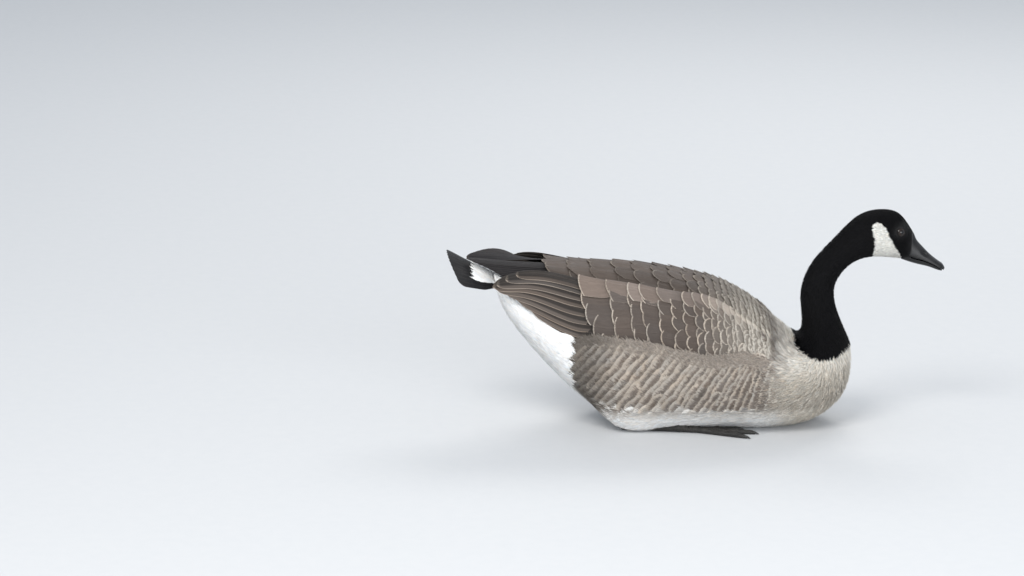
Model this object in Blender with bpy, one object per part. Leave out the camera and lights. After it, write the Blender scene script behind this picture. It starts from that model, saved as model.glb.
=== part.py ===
"""A life-size Canada goose at rest on its belly, feet tucked under, neck curved and head lowered.

Metres, +Z up, +X towards the bill, +Y the bird's left. The origin is on the ground, at the middle of
the flat of the belly. The body, neck and head are one loft between a line along the back and a line
along the belly, parted into nodes by thin cuts. Wings and scapulars lie on one curved surface over
each side of the back, with their vanes set on it in tiers.
"""

import math
import random

import bmesh
import bpy
import numpy as np
from mathutils import Matrix, Vector

MM = 0.001
GAP = 0.3 * MM
SIDES = (("L", 1.0), ("R", -1.0))

# The flesh: each station has the point on the back line and the point on the belly line (x, z), the
# half width, where the widest point lies from belly to back (0 to 1), and how square the ring is
# above and below it. All in millimetres.
BODY_STATIONS = (
    ((-258, 199), (-255, 174), 24, 0.50, 2.0, 2.0),
    ((-240, 200), (-241, 138), 41, 0.50, 2.0, 2.0),
    ((-205, 199), (-203, 89), 62, 0.47, 2.1, 2.0),
    ((-160, 199), (-152, 38), 79, 0.46, 2.2, 2.1),
    ((-110, 200), (-104, 9), 88, 0.46, 2.2, 2.3),
    ((-50, 194), (-55, -4), 91, 0.47, 2.2, 2.5),
    ((20, 174), (20, -4), 92, 0.50, 2.2, 2.5),
    ((70, 148), (90, -3), 87, 0.53, 2.2, 2.4),
    ((100, 126), (145, 7), 76, 0.55, 2.2, 2.2),
    ((115, 113), (180, 36), 61, 0.54, 2.2, 2.1),
    ((122, 112), (190, 70), 49, 0.52, 2.1, 2.0),
    ((127, 120), (188, 100), 37, 0.50, 2.0, 2.0),
    ((127, 141), (176, 131), 25, 0.50, 2.0, 2.0),
    ((126, 168), (167.5, 163), 20.5, 0.50, 2.0, 2.0),
    ((139, 203), (174.5, 188), 20, 0.50, 2.0, 2.0),
    ((168.5, 237), (194, 206), 20.5, 0.50, 2.0, 2.0),
    ((199, 265), (218, 212), 24.5, 0.46, 2.1, 2.1),
    ((232, 271), (237, 211), 25, 0.44, 2.2, 2.2),
    ((251, 262.5), (250, 209.5), 20.5, 0.46, 2.2, 2.2),
    ((264.5, 243), (261, 207), 13.5, 0.48, 2.1, 2.2),
)
NECK_CUT = 11.3  # station numbers where the loft is parted
NECK_MIDDLE_CUT = 14.2
HEAD_CUT = 16.0
RING_SIDES = 24
TORSO_RINGS, NECK_LOWER_RINGS, NECK_UPPER_RINGS, HEAD_RINGS = 24, 9, 7, 11

# The bill, in its own frame: its root is at the front of the head, its axis points forward and down.
BILL_ROOT = Vector((262.0, 0.0, 222.0)) * MM
BILL_PITCH = math.radians(-28.0)
# Each station of the upper mandible: distance along the axis, half width, height of the culmen and
# of the mouth line above the axis, in millimetres.
UPPER_BILL = (
    (-12.0, 13.2, 22.0, -9.4),
    (-6.0, 13.1, 18.8, -9.2),
    (0.0, 12.9, 14.0, -8.7),
    (6.0, 12.5, 11.0, -8.0),
    (13.0, 11.9, 8.6, -6.5),
    (21.0, 11.2, 5.9, -5.0),
    (30.0, 10.6, 3.6, -4.0),
    (39.0, 9.5, 2.2, -4.0),
    (46.0, 6.8, 0.5, -4.3),
    (49.5, 2.8, -1.9, -4.7),
)
# The lower mandible the same way: its top lies under the upper one, then its underside.
LOWER_BILL = (
    (-5.0, 11.0, -9.9, -17.2),
    (8.0, 10.4, -8.5, -15.2),
    (19.0, 9.4, -6.1, -12.8),
    (29.0, 8.1, -4.9, -10.2),
    (38.0, 6.5, -4.8, -8.9),
    (45.0, 4.2, -5.1, -7.9),
    (48.0, 2.0, -5.4, -7.1),
)
BILL_SIDES = 16
NOSTRIL_AT = (17.0, 9.4, 3.3)  # along the bill, out from its middle, and above its axis
NOSTRIL_SIZE = (4.5, 3.0, 1.7)  # half lengths: along, across and up

EYE_AT = (248.0 * MM, 247.0 * MM)  # the middle of the eye in the side view, x and z
EYE_RADIUS = 6.6 * MM
EYE_DEPTH = 4.2 * MM  # how far the middle of the eye lies inside the cheek
EYE_SEEN = 5.1 * MM  # half the opening between the lids
LID_RADIUS = 1.1 * MM
LID_OUT = 3.7 * MM  # the lids lie this far out from the middle of the eye

# The surface that the wing and the scapulars lie on, from the wing's lower edge (v = 0) over the
# wing's upper edge (v = 1) to the middle of the back (v = 2). Each row is x, then y and z at v = 0,
# 0.5, 1, 1.5 and the height of the back line at v = 2. y is the distance from the middle.
MANTLE_STATIONS = (
    (104, (76, 97), (73, 105), (60, 113), (36, 122), 126),
    (60, (88, 103), (84, 125), (64, 144), (37, 156), 158),
    (10, (91, 103), (88, 141), (61, 171), (36, 182), 185),
    (-40, (89, 111), (87, 150), (61, 179), (34, 194), 199),
    (-90, (87, 119), (84, 157), (56, 187), (30, 201), 206),
    (-140, (81, 120), (78, 158), (47, 192), (26, 204), 208),
    (-185, (70, 137), (68, 170), (40, 201), (22, 206), 208),
    (-225, (58, 160), (58, 182), (42, 202), (22, 206), 207),
    (-262, (48, 178), (50, 183), (45, 190), (24, 203), 205),
)
LEFT_TIP_LIFT = 3.0 * MM  # the far wing is carried higher at its tip
LIFT_FROM, LIFT_TO = -90 * MM, -260 * MM
WING_STATIONS = [(100 - 19.5 * i) * MM for i in range(15)]  # the pad's rows, from its front
WING_END_STATIONS = [(-195 - 22.5 * i) * MM for i in range(4)]  # the free tip behind the pad
WING_THICK, WING_THICK_END = 9.0 * MM, 4.6 * MM
SCAPULAR_STATIONS = [(42 - 17 * i) * MM for i in range(15)]
SCAPULAR_THICK = 5.0 * MM
SCAPULAR_DROP = 2.4 * MM  # the scapulars lie a little below the wing's upper edge
EDGE_GAP_V = 0.006  # half the gap between wing and scapulars, as a share of v

# The vanes on the wing and the scapulars. A row is the x of its uppermost tip, how far ahead its
# lowest tip lies, and the length of its vanes, in millimetres.
COVERT_ROWS = (
    (-154, 24, 48),
    (-121, 20, 46),
    (-93, 17, 44),
    (-64, 15, 42),
    (-35, 13, 40),
    (-5, 10, 36),
)
SCAPULAR_ROWS = (
    (-190, 4, 52),
    (-152, 6, 52),
    (-112, 7, 50),
    (-72, 8, 48),
    (-32, 8, 42),
)
ROOT_SINK, TIP_RISE, VANE_TILT = 1.0 * MM, 2.0 * MM, 0.35 * MM
VANE_STEPS = ((0.0, 0.75), (0.5, 1.0), (0.84, 0.88), (1.0, 0.4))
# The tertials and secondaries: v of the middle, x of the tip, half width and layer in millimetres.
BLADE_ROOT_X = -146 * MM
BLADE_THICK = 1.9 * MM
BLADE_STEPS = ((0.0, 0.9), (0.27, 1.0), (0.54, 1.0), (0.8, 0.86), (0.94, 0.6), (1.0, 0.25))
LONG_BLADES = (
    (0.12, -200, 12, -2.2),
    (0.27, -224, 12, -1.5),
    (0.43, -245, 12, -0.8),
    (0.59, -257, 11, -0.1),
    (0.74, -250, 10, 0.6),
    (0.88, -232, 9, 1.3),
)

# The tail: a fan that rises backwards and droops at its sides.
TAIL_ROOT = Vector((-258.0, 0.0, 187.0)) * MM
TAIL_RISE = math.radians(28.0)
TAIL_LENGTH = 66.0 * MM
TAIL_SPREAD = math.radians(27.0)
TAIL_DROOP = 15.0 * MM
TAIL_ROOT_HALF_WIDTH = 19.0 * MM
# The rings of the root: how far back, and the width and height as shares of the rump's end.
TAIL_ROOT_RINGS = ((7, 0.95, 0.75), (15, 0.98, 0.45), (26, 1.02, 0.2))
TAIL_THICK = 1.7 * MM
TAIL_LAYER = 0.8 * MM
TAIL_FEATHERS = 15
TAIL_FEATHER_HALF = 8.0 * MM
TAIL_STEPS = ((0.0, 0.8), (0.5, 1.0), (0.86, 0.95), (1.0, 0.45))

# The primaries: dark wing tips crossed over the root of the tail.
PRIMARIES = 5
PRIMARY_ROOT_X, PRIMARY_TIP_X = -196.4 * MM, -292 * MM
PRIMARY_HEIGHT = 206.0 * MM
PRIMARY_RISE = 6.0 * MM
FAR_TIP_SLOPE = 0.7  # the far wing's tip is tipped up at its outer edge
PRIMARY_HALF = 8.0 * MM
PRIMARY_THICK = 1.6 * MM
PRIMARY_STEPS = ((0.0, 0.9), (0.5, 1.0), (0.82, 0.8), (1.0, 0.28))

# The feet, tucked under the belly.
FOOT_AT = Vector((-8.0, 59.0, 0.0)) * MM  # the joint of the toes
FOOT_YAW = math.radians(9.0)
TOES = ((-19.0, 58.0, 8.2), (-2.0, 76.0, 9.0), (15.0, 70.0, 8.2))  # degrees, length, width
TOE_HEIGHT = 8.0 * MM
CLAW_LENGTH = 9.0 * MM
KNUCKLE_HEIGHT = 4.4 * MM
WEB_THICK = 2.2 * MM
WEB_REACH = 0.86
SHANK_LENGTH = 84.0 * MM
SHANK_HALF = (7.4 * MM, 6.2 * MM)  # half width and half height of the shank at its ends

COLOURS = {
    "brown": ((0.20, 0.165, 0.14, 1.0), 0.75),
    "mantle": ((0.15, 0.125, 0.108, 1.0), 0.72),
    "slate": ((0.05, 0.046, 0.046, 1.0), 0.6),
    "black": ((0.012, 0.012, 0.013, 1.0), 0.7),
    "bill": ((0.018, 0.017, 0.018, 1.0), 0.35),
    "eye": ((0.02, 0.012, 0.008, 1.0), 0.05),
    "leg": ((0.045, 0.042, 0.038, 1.0), 0.5),
}


def natural_spline(knots, values):
    """A natural cubic spline through rows of values at increasing knots."""
    knots = np.asarray(knots, float)
    values = np.asarray(values, float).reshape(len(knots), -1)
    steps = np.diff(knots)
    matrix = np.eye(len(knots))
    right = np.zeros_like(values)
    for i in range(1, len(knots) - 1):
        matrix[i, i - 1 : i + 2] = steps[i - 1], 2 * (steps[i - 1] + steps[i]), steps[i]
        slopes = np.diff(values[i - 1 : i + 2], axis=0) / steps[i - 1 : i + 1, None]
        right[i] = 6 * (slopes[1] - slopes[0])
    bends = np.linalg.solve(matrix, right)

    def at(t):
        i = int(np.clip(np.searchsorted(knots, t) - 1, 0, len(knots) - 2))
        h = steps[i]
        a, b = (knots[i + 1] - t) / h, (t - knots[i]) / h
        curve = ((a**3 - a) * bends[i] + (b**3 - b) * bends[i + 1]) * h * h / 6
        return a * values[i] + b * values[i + 1] + curve

    return at


def body_splines():
    rows = [(*top, *bottom, *rest) for top, bottom, *rest in BODY_STATIONS]
    return natural_spline(range(len(rows)), rows)


BODY_AT = body_splines()


def body_ring(station, sides=RING_SIDES):
    """The points of one ring of the flesh, starting on the back and going down the left side."""
    top_x, top_z, low_x, low_z, width, middle, square_up, square_down = BODY_AT(station)
    points = []
    for i in range(sides):
        angle = 2 * math.pi * i / sides
        up, out = math.cos(angle), math.sin(angle)
        square = square_up if up > 0 else square_down
        reach = 1 - middle if up > 0 else middle
        share = middle + reach * math.copysign(abs(up) ** (2 / square), up)
        y = width * math.copysign(abs(out) ** (2 / square), out)
        x = low_x + (top_x - low_x) * share
        z = low_z + (top_z - low_z) * share
        points.append(Vector((x, y, max(z, 0.0))) * MM)
    return points


def ring_normal(station):
    """The direction in which the loft goes on at a ring."""
    top_x, top_z, low_x, low_z = BODY_AT(station)[:4]
    return Vector((top_z - low_z, 0, low_x - top_x)).normalized()


def new_object(name, colour, mesh):
    found = bpy.data.materials.get(colour)
    if found is None:
        found = bpy.data.materials.new(colour)
        found.use_nodes = True
        shader = found.node_tree.nodes["Principled BSDF"]
        shader.inputs["Base Color"].default_value = COLOURS[colour][0]
        shader.inputs["Roughness"].default_value = COLOURS[colour][1]
        shader.inputs["Metallic"].default_value = 0.0
    mesh.materials.append(found)
    made = bpy.data.objects.new(name, mesh)
    PARTS.objects.link(made)
    return made


def mesh_of(name, points, faces):
    mesh = bpy.data.meshes.new(name)
    mesh.from_pydata([tuple(p) for p in points], [], faces)
    mesh.validate()
    return mesh


def face_out(mesh):
    """Turns the faces of a closed mesh outwards."""
    shape = bmesh.new()
    shape.from_mesh(mesh)
    bmesh.ops.recalc_face_normals(shape, faces=shape.faces)
    shape.to_mesh(mesh)
    shape.free()
    return mesh


def loft(name, rings):
    """A closed mesh through rings of points of equal number, with flat ends."""
    count = len(rings[0])
    points = [p for ring in rings for p in ring]
    faces = []
    for i in range(len(rings) - 1):
        for j in range(count):
            k = (j + 1) % count
            a, b = i * count + j, i * count + k
            faces.append((a, b, b + count, a + count))
    faces.append(tuple(range(count)))
    faces.append(tuple(range((len(rings) - 1) * count, len(rings) * count)))
    return face_out(mesh_of(name, points, faces))


def flesh(name, colour, start, end, rings):
    """A length of the flesh between two stations, kept clear of the one before it."""
    made = [body_ring(s) for s in np.linspace(start, end, rings)]
    if start > 0:
        shift = ring_normal(start) * GAP
        made[0] = [p + shift for p in made[0]]
    return new_object(name, colour, loft(name, made))


def boolean(target, others, operation):
    """Joins the other objects to the target, or cuts it with them, and removes them."""
    group = bpy.data.collections.new("pieces")
    bpy.context.scene.collection.children.link(group)
    for other in others:
        for owner in list(other.users_collection):
            owner.objects.unlink(other)
        group.objects.link(other)
    modifier = target.modifiers.new("boolean", "BOOLEAN")
    modifier.operation = operation
    modifier.operand_type = "COLLECTION"
    modifier.collection = group
    modifier.solver = "MANIFOLD"
    graph = bpy.context.evaluated_depsgraph_get()
    mesh = bpy.data.meshes.new_from_object(target.evaluated_get(graph), depsgraph=graph)
    target.modifiers.clear()
    target.data = mesh
    for other in others:
        bpy.data.objects.remove(other)
    bpy.data.collections.remove(group)
    keep_largest(target.data)
    return target


def keep_largest(mesh):
    """Keeps only the largest closed surface of a mesh."""
    shape = bmesh.new()
    shape.from_mesh(mesh)
    unseen, islands = set(shape.faces), []
    while unseen:
        queue, island = [unseen.pop()], []
        while queue:
            face = queue.pop()
            island.append(face)
            for edge in face.edges:
                for near in edge.link_faces:
                    if near in unseen:
                        unseen.remove(near)
                        queue.append(near)
        islands.append(island)
    islands.sort(key=len)
    for island in islands[:-1]:
        bmesh.ops.delete(shape, geom=island, context="FACES")
    shape.to_mesh(mesh)
    shape.free()


def mantle_row(index):
    return [station[index] for station in MANTLE_STATIONS][::-1]


def mantle_splines():
    """The mantle's points at each x: y and z at v = 0, 0.5, 1 and 1.5, and z at v = 2."""
    xs = mantle_row(0)
    columns = [mantle_row(i) for i in range(1, 5)]
    rows = [
        [*columns[0][i], *columns[1][i], *columns[2][i], *columns[3][i], mantle_row(5)[i]]
        for i in range(len(xs))
    ]
    return natural_spline(xs, rows)


MANTLE_AT = mantle_splines()
MANTLE_KNOTS = (0, 0.5, 1, 1.5, 2, 2.5, 3, 3.5, 4)


def smooth_step(t):
    t = min(1.0, max(0.0, t))
    return t * t * (3 - 2 * t)


def mantle_point(side, x, v):
    row = MANTLE_AT(x / MM)
    half = [(row[2 * i], row[2 * i + 1]) for i in range(4)]
    section = [*half, (0.0, row[8]), *[(-y, z) for y, z in reversed(half)]]
    y, z = natural_spline(MANTLE_KNOTS, section)(v) * MM
    if side > 0:
        share = smooth_step((LIFT_FROM - x) / (LIFT_FROM - LIFT_TO))
        z += LEFT_TIP_LIFT * share * (1 - smooth_step(v - 1))
    return Vector((x, side * y, z))


def mantle(side, x, v, height=0.0):
    """A point at some height over the mantle surface of one side."""
    step = 0.5 * MM
    here = mantle_point(side, x, v)
    along = mantle_point(side, x + step, v) - here
    across = mantle_point(side, x, v + 0.01) - here
    out = along.cross(across).normalized() * -side
    return here + out * height


def chord(side, x, v):
    """Metres for each unit of v across the mantle."""
    return (mantle_point(side, x, v + 0.05) - mantle_point(side, x, v)).length / 0.05


def plate(name, grid_top, grid_low):
    """A closed plate between two grids of points that match, its triangles alike on both faces."""
    rows, columns = len(grid_top), len(grid_top[0])
    points = [p for row in grid_top for p in row] + [p for row in grid_low for p in row]
    low = rows * columns
    faces = []
    for i in range(rows - 1):
        for j in range(columns - 1):
            a, b = i * columns + j, i * columns + j + 1
            c, d = b + columns, a + columns
            faces += [(a, b, c), (a, c, d), (low + a, low + c, low + b), (low + a, low + d, low + c)]
    rim = [j for j in range(columns)]
    rim += [i * columns + columns - 1 for i in range(1, rows)]
    rim += [(rows - 1) * columns + j for j in range(columns - 2, -1, -1)]
    rim += [i * columns for i in range(rows - 2, 0, -1)]
    for i, a in enumerate(rim):
        b = rim[(i + 1) % len(rim)]
        faces += [(a, low + a, b), (b, low + a, low + b)]
    return face_out(mesh_of(name, points, faces))


def wing_thick(x):
    """The thickness that the wing takes up, thinner towards its tip."""
    share = smooth_step((-120 * MM - x) / (110 * MM))
    return WING_THICK + (WING_THICK_END - WING_THICK) * share


def scapular_thick(x):
    return SCAPULAR_THICK


def mantle_pad(name, side, stations, v_range, thick, drop, grow=0.0, over=None):
    """A pad that lies in the mantle surface. With over it is the cutter that makes its pocket."""
    last, v_steps = len(stations) - 1, 7
    top, low = [], []
    for i, station in enumerate(stations):
        end = 1 if i == 0 else -1 if i == last else 0
        x = station + grow * end
        top.append([])
        low.append([])
        for j in range(v_steps + 1):
            share = j / v_steps
            v = v_range[0] + (v_range[1] - v_range[0]) * share
            v += grow / chord(side, x, v) * (2 * share - 1)
            edge = max(abs(end), 0.5 * (2 * share - 1) ** 8)
            height = -drop - 0.4 * thick(x) * edge if over is None else over
            top[-1].append(mantle(side, x, v, height))
            low[-1].append(mantle(side, x, v, -thick(x) - grow))
    return plate(name, top, low)


def scrap(mesh):
    """A helper object that a Boolean will use up."""
    made = bpy.data.objects.new(mesh.name, mesh)
    HELPERS.objects.link(made)
    return made


WING_V = (0.0, 1.0 - EDGE_GAP_V)
SCAPULAR_V = (1.0 + EDGE_GAP_V, 2.0 - 0.006)


def wing_pad(name, side, stations=WING_STATIONS, **more):
    return mantle_pad(name, side, stations, WING_V, wing_thick, 0.0, **more)


def scapular_pad(name, side, **more):
    shape = (SCAPULAR_STATIONS, SCAPULAR_V, scapular_thick, SCAPULAR_DROP)
    return mantle_pad(name, side, *shape, **more)


def vane(place, top, low, steps=VANE_STEPS):
    """A closed vane. place(t, s, height) gives a point at the share t of its length from the root,
    with s from -1 to 1 across it; top(t, s) and low(t, s) are the heights of its faces."""
    rows = [[(t, s * width) for s in (-1, 0, 1)] for t, width in steps]
    upper = [[place(t, s, top(t, s)) for t, s in row] for row in rows]
    lower = [[place(t, s, low(t, s)) for t, s in row] for row in rows]
    return plate("vane", upper, lower)


def shingle(side, tip_x, v, length, half, drop, v_range, sink):
    """A covert or scapular: sunk in its pad at the root, its tip raised over the next row."""
    across = half / chord(side, tip_x + length / 2, v)

    def place(t, s, height):
        x = tip_x + length * (1 - t) + 0.06 * length * abs(s)
        at_v = min(v_range[1] - 0.02, max(v_range[0] + 0.02, v + s * across))
        return mantle(side, x, at_v, height - drop)

    def top(t, s):
        return -ROOT_SINK + (ROOT_SINK + TIP_RISE) * t**1.2 + VANE_TILT * s

    return scrap(vane(place, top, lambda t, s: -sink))


def shingle_rows(side, rows, v_range, count, drop, sink):
    """Staggered rows of vanes. A row is its upper tip's x, how far its lower end lies ahead, and the
    vanes' length, in millimetres."""
    made = []
    low, high = v_range
    for i, (tip_x, slant, length) in enumerate(rows):
        number = count + i % 2
        for j in range(number):
            share = (j + 0.5) / number
            v = low + (high - low) * share
            x = (tip_x + slant * (1 - share) + random.uniform(-1.5, 1.5)) * MM
            half = 0.6 * (high - low) * chord(side, x, v) / number
            size = length * MM * random.uniform(0.95, 1.05)
            made.append(shingle(side, x, v, size, half, drop, v_range, sink))
    return made


def long_blade(side, v, tip_x, half, layer):
    """A tertial or secondary: it leaves the wing's pad and runs free to its tip."""

    def place(t, s, height):
        x = BLADE_ROOT_X + (tip_x - BLADE_ROOT_X) * t + 5 * MM * s * s * t
        across = s * half / max(chord(side, max(x, WING_END_STATIONS[-1]), v), 24 * MM)
        at_v = min(0.96, max(0.03, v + across))
        return mantle(side, x, at_v, height)

    def top(t, s):
        return layer - 1.2 * MM * s * s

    return scrap(vane(place, top, lambda t, s: top(t, s) - BLADE_THICK, BLADE_STEPS))


def build_wing(letter, side):
    wing = new_object(f"wing_{letter}", "brown", wing_pad("wing", side))
    pieces = shingle_rows(side, COVERT_ROWS, (0.0, 0.99), 3, 0.0, 2.5 * MM)
    for v, tip_x, half, layer in LONG_BLADES:
        pieces.append(long_blade(side, v, tip_x * MM, half * MM, layer * MM))
    return boolean(wing, pieces, "UNION")


def build_scapulars(letter, side):
    scapulars = new_object(f"scapulars_{letter}", "mantle", scapular_pad("scapulars", side))
    pieces = shingle_rows(side, SCAPULAR_ROWS, (1.01, 1.985), 2, SCAPULAR_DROP, 2.0 * MM)
    return boolean(scapulars, pieces, "UNION")


def primary_height(side, x, y):
    """The surface that the primaries lie on, over the rump and the root of the tail."""
    u = (PRIMARY_ROOT_X - x) / (PRIMARY_ROOT_X - PRIMARY_TIP_X)
    roof = PRIMARY_HEIGHT - (y / MM) ** 2 * 0.008 * MM
    if side < 0:
        return roof + PRIMARY_RISE * u * u
    tipped = PRIMARY_HEIGHT + 1.0 * MM + FAR_TIP_SLOPE * (y - 8 * MM)
    return roof + (tipped - roof) * smooth_step(u * 1.1)


def primary_blade(side, number):
    """One primary; number 0 is the longest, the innermost and the uppermost."""
    tip_x = PRIMARY_TIP_X + number * 9.5 * MM
    root_y, tip_y = (17 + 3.4 * number) * MM, (10 + 4.4 * number) * MM
    layer = -0.9 * MM * number

    def place(t, s, height):
        x = PRIMARY_ROOT_X + (tip_x - PRIMARY_ROOT_X) * t
        x += 7 * MM * abs(s) * t**3
        y = root_y + (tip_y - root_y) * t + s * PRIMARY_HALF
        return Vector((x, side * y, primary_height(side, x, y) + layer + height))

    return vane(place, lambda t, s: 0.0, lambda t, s: -PRIMARY_THICK, PRIMARY_STEPS)


def primary_root(side, grow=0.0):
    """The block that the primaries grow from, lying on the rump."""
    top, low = [], []
    for i in range(4):
        x = PRIMARY_ROOT_X + grow - (34 * MM + 2 * grow) * i / 3
        top.append([])
        low.append([])
        for j in range(4):
            y = 7 * MM - grow + (27 * MM + 2 * grow) * j / 3
            z = primary_height(side, x, y) - 1.2 * MM
            top[-1].append(Vector((x, side * y, z + grow)))
            low[-1].append(Vector((x, side * y, z - (10 - 2.4 * i) * MM - grow)))
    return plate("primary_root", top, low)


def build_primaries(letter, side):
    primaries = new_object(f"primaries_{letter}", "slate", primary_root(side))
    return boolean(primaries, [scrap(primary_blade(side, k)) for k in range(PRIMARIES)], "UNION")


def tail_point(along, across, height=0.0):
    """A point of the tail's fan: metres from its root, then -1 to 1 across, then height over it."""
    angle = TAIL_SPREAD * across
    y = TAIL_ROOT_HALF_WIDTH * across + along * math.sin(angle)
    forward = along * math.cos(angle)
    droop = TAIL_DROOP * across * across * (0.6 + 0.4 * along / TAIL_LENGTH)
    x = TAIL_ROOT.x - forward * math.cos(TAIL_RISE) - height * math.sin(TAIL_RISE)
    z = TAIL_ROOT.z + forward * math.sin(TAIL_RISE) + height * math.cos(TAIL_RISE) - droop
    return Vector((x, y, z))


def rectrix(number):
    """One tail feather, counted from the middle to either side; the middle one lies uppermost."""
    across = number / (TAIL_FEATHERS // 2)
    length = TAIL_LENGTH * (1 - 0.1 * across * across)
    layer = -TAIL_LAYER * abs(number)

    def place(t, s, height):
        along = 5 * MM + (length - 5 * MM) * t - 4 * MM * s * s * t**3
        half = TAIL_FEATHER_HALF * (0.65 + 0.35 * t)
        spot = tail_point(along, across, height + layer)
        return spot + Vector((0, s * half, 0))

    return scrap(vane(place, lambda t, s: TAIL_THICK, lambda t, s: 0.0, TAIL_STEPS))


def build_tail():
    """The fan of tail feathers on a root that meets the rump."""
    start = [p + ring_normal(0) * -GAP for p in body_ring(0, 16)]
    middle = sum(start, Vector()) / len(start)
    rings = [start]
    for back, wide, high in TAIL_ROOT_RINGS:
        centre = tail_point(back * MM, 0.0, -2.5 * MM)
        ring = [centre + Vector((0, (p.y - middle.y) * wide, (p.z - middle.z) * high)) for p in start]
        rings.append(ring)
    tail = new_object("tail", "black", loft("tail", rings))
    half = TAIL_FEATHERS // 2
    return boolean(tail, [rectrix(k) for k in range(-half, half + 1)], "UNION")


def bill_point(along, across, up):
    cos, sin = math.cos(BILL_PITCH), math.sin(BILL_PITCH)
    x = BILL_ROOT.x + (along * cos - up * sin) * MM
    z = BILL_ROOT.z + (along * sin + up * cos) * MM
    return Vector((x, across * MM, z))


def bill_ring(along, half, top, low, flat_low):
    """A ring of a mandible, round on one side and flat along the mouth."""
    ring = []
    for i in range(BILL_SIDES):
        angle = 2 * math.pi * i / BILL_SIDES
        up, out = math.cos(angle), math.sin(angle)
        y = half * math.copysign(abs(out) ** 0.8, out)
        rounded = abs(up) ** 1.05
        share = 0.1 + 0.9 * rounded if (up > 0) == flat_low else 0.1 * (1 - rounded)
        z = low + (top - low) * share if flat_low else top - (top - low) * share
        ring.append(bill_point(along, y, z))
    return ring


def head_side_block():
    """A block over the head's place, up to a gap in front of its last ring."""
    last = len(BODY_STATIONS) - 1
    centre = sum(body_ring(last), Vector()) / RING_SIDES
    ahead = ring_normal(last)
    up = Vector((0, 1, 0)).cross(ahead) * -60 * MM
    out = Vector((0, 40 * MM, 0))
    face = centre + ahead * GAP
    points = []
    for back in (0, -60 * MM):
        points += [face + ahead * back + up * i + out * j for i, j in ((1, 1), (1, -1), (-1, -1), (-1, 1))]
    faces = [(0, 1, 2, 3), (4, 5, 6, 7)] + [(i, (i + 1) % 4, 4 + (i + 1) % 4, 4 + i) for i in range(4)]
    return scrap(face_out(mesh_of("block", points, faces)))


def build_bill():
    at = natural_spline([row[0] for row in UPPER_BILL], [row[1:] for row in UPPER_BILL])
    stations = (-12.0, -6, 0, 5, 10, 15, 20, 26, 32, 38, 42, 45, 47.5, 49.5)
    rings = [bill_ring(s, *at(s), True) for s in stations]
    upper = new_object("bill_upper", "bill", loft("bill_upper", rings))
    nostrils = []
    for _, side in SIDES:
        along, out, up = NOSTRIL_AT
        shape = bmesh.new()
        bmesh.ops.create_uvsphere(shape, u_segments=10, v_segments=6, radius=1.0)
        mesh = bpy.data.meshes.new("nostril")
        bmesh.ops.scale(shape, vec=Vector(NOSTRIL_SIZE) * MM, verts=shape.verts)
        shape.to_mesh(mesh)
        shape.free()
        cutter = scrap(mesh)
        cutter.rotation_euler = (0, -BILL_PITCH, 0)
        cutter.location = bill_point(along, side * out, up)
        nostrils.append(cutter)
    boolean(upper, nostrils, "DIFFERENCE")
    boolean(upper, [head_side_block()], "DIFFERENCE")
    at = natural_spline([row[0] for row in LOWER_BILL], [row[1:] for row in LOWER_BILL])
    stations = (-5.0, 6, 14, 22, 30, 38, 44, 48)
    rings = [bill_ring(s, *at(s), False) for s in stations]
    lower = new_object("bill_lower", "bill", loft("bill_lower", rings))
    boolean(lower, [head_side_block()], "DIFFERENCE")


def ball(name, centre, radius, segments=14, rings=9):
    shape = bmesh.new()
    bmesh.ops.create_uvsphere(shape, u_segments=segments, v_segments=rings, radius=radius)
    sideways = Matrix.Rotation(math.pi / 2, 3, "X")
    bmesh.ops.rotate(shape, cent=(0, 0, 0), matrix=sideways, verts=shape.verts)
    bmesh.ops.translate(shape, vec=centre, verts=shape.verts)
    mesh = bpy.data.meshes.new(name)
    shape.to_mesh(mesh)
    shape.free()
    return mesh


def cheek(x, z):
    """The point on the left cheek at a place of the side view, and the cheek's normal there."""
    best = None
    for station in np.linspace(HEAD_CUT, len(BODY_STATIONS) - 1.01, 90):
        ring = body_ring(station, 90)
        for i in range(2, 43):
            miss = math.hypot(ring[i].x - x, ring[i].z - z)
            if best is None or miss < best[0]:
                best = (miss, station, i)
    station, i = best[1:]
    ring, ahead = body_ring(station, 90), body_ring(station + 0.05, 90)
    normal = (ahead[i] - ring[i]).cross(ring[i + 1] - ring[i - 1]).normalized()
    return ring[i], normal if normal.y > 0 else -normal


def lid(centre, outward):
    """The ring of the eyelids, an ellipse a little longer than it is high."""
    bpy.ops.mesh.primitive_torus_add(
        major_segments=18, minor_segments=6, major_radius=EYE_SEEN + 0.5 * MM, minor_radius=LID_RADIUS
    )
    made = bpy.context.active_object
    made.rotation_euler = outward.to_track_quat("Z", "Y").to_euler()
    made.location = centre + outward * LID_OUT
    made.scale = (1.1, 0.94, 1.0)
    return made


def build_head():
    last = len(BODY_STATIONS) - 1
    head = flesh("head", "black", HEAD_CUT, last, HEAD_RINGS)
    spot, normal = cheek(*EYE_AT)
    for letter, side in SIDES:
        outward = Vector((normal.x, side * normal.y, normal.z))
        centre = Vector((spot.x, side * spot.y, spot.z)) - outward * EYE_DEPTH
        boolean(head, [lid(centre, outward)], "UNION")
        boolean(head, [scrap(ball("socket", centre, EYE_RADIUS + GAP, 18, 11))], "DIFFERENCE")
        new_object(f"eye_{letter}", "eye", ball(f"eye_{letter}", centre, EYE_RADIUS))
    return head


def foot_frame(side):
    """The yawed frame of one foot: its origin, forward and outward directions."""
    origin = Vector((FOOT_AT.x, side * FOOT_AT.y, 0))
    forward = Vector((math.cos(FOOT_YAW), side * math.sin(FOOT_YAW), 0))
    return origin, forward, Vector((-math.sin(FOOT_YAW), side * math.cos(FOOT_YAW), 0))


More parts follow.
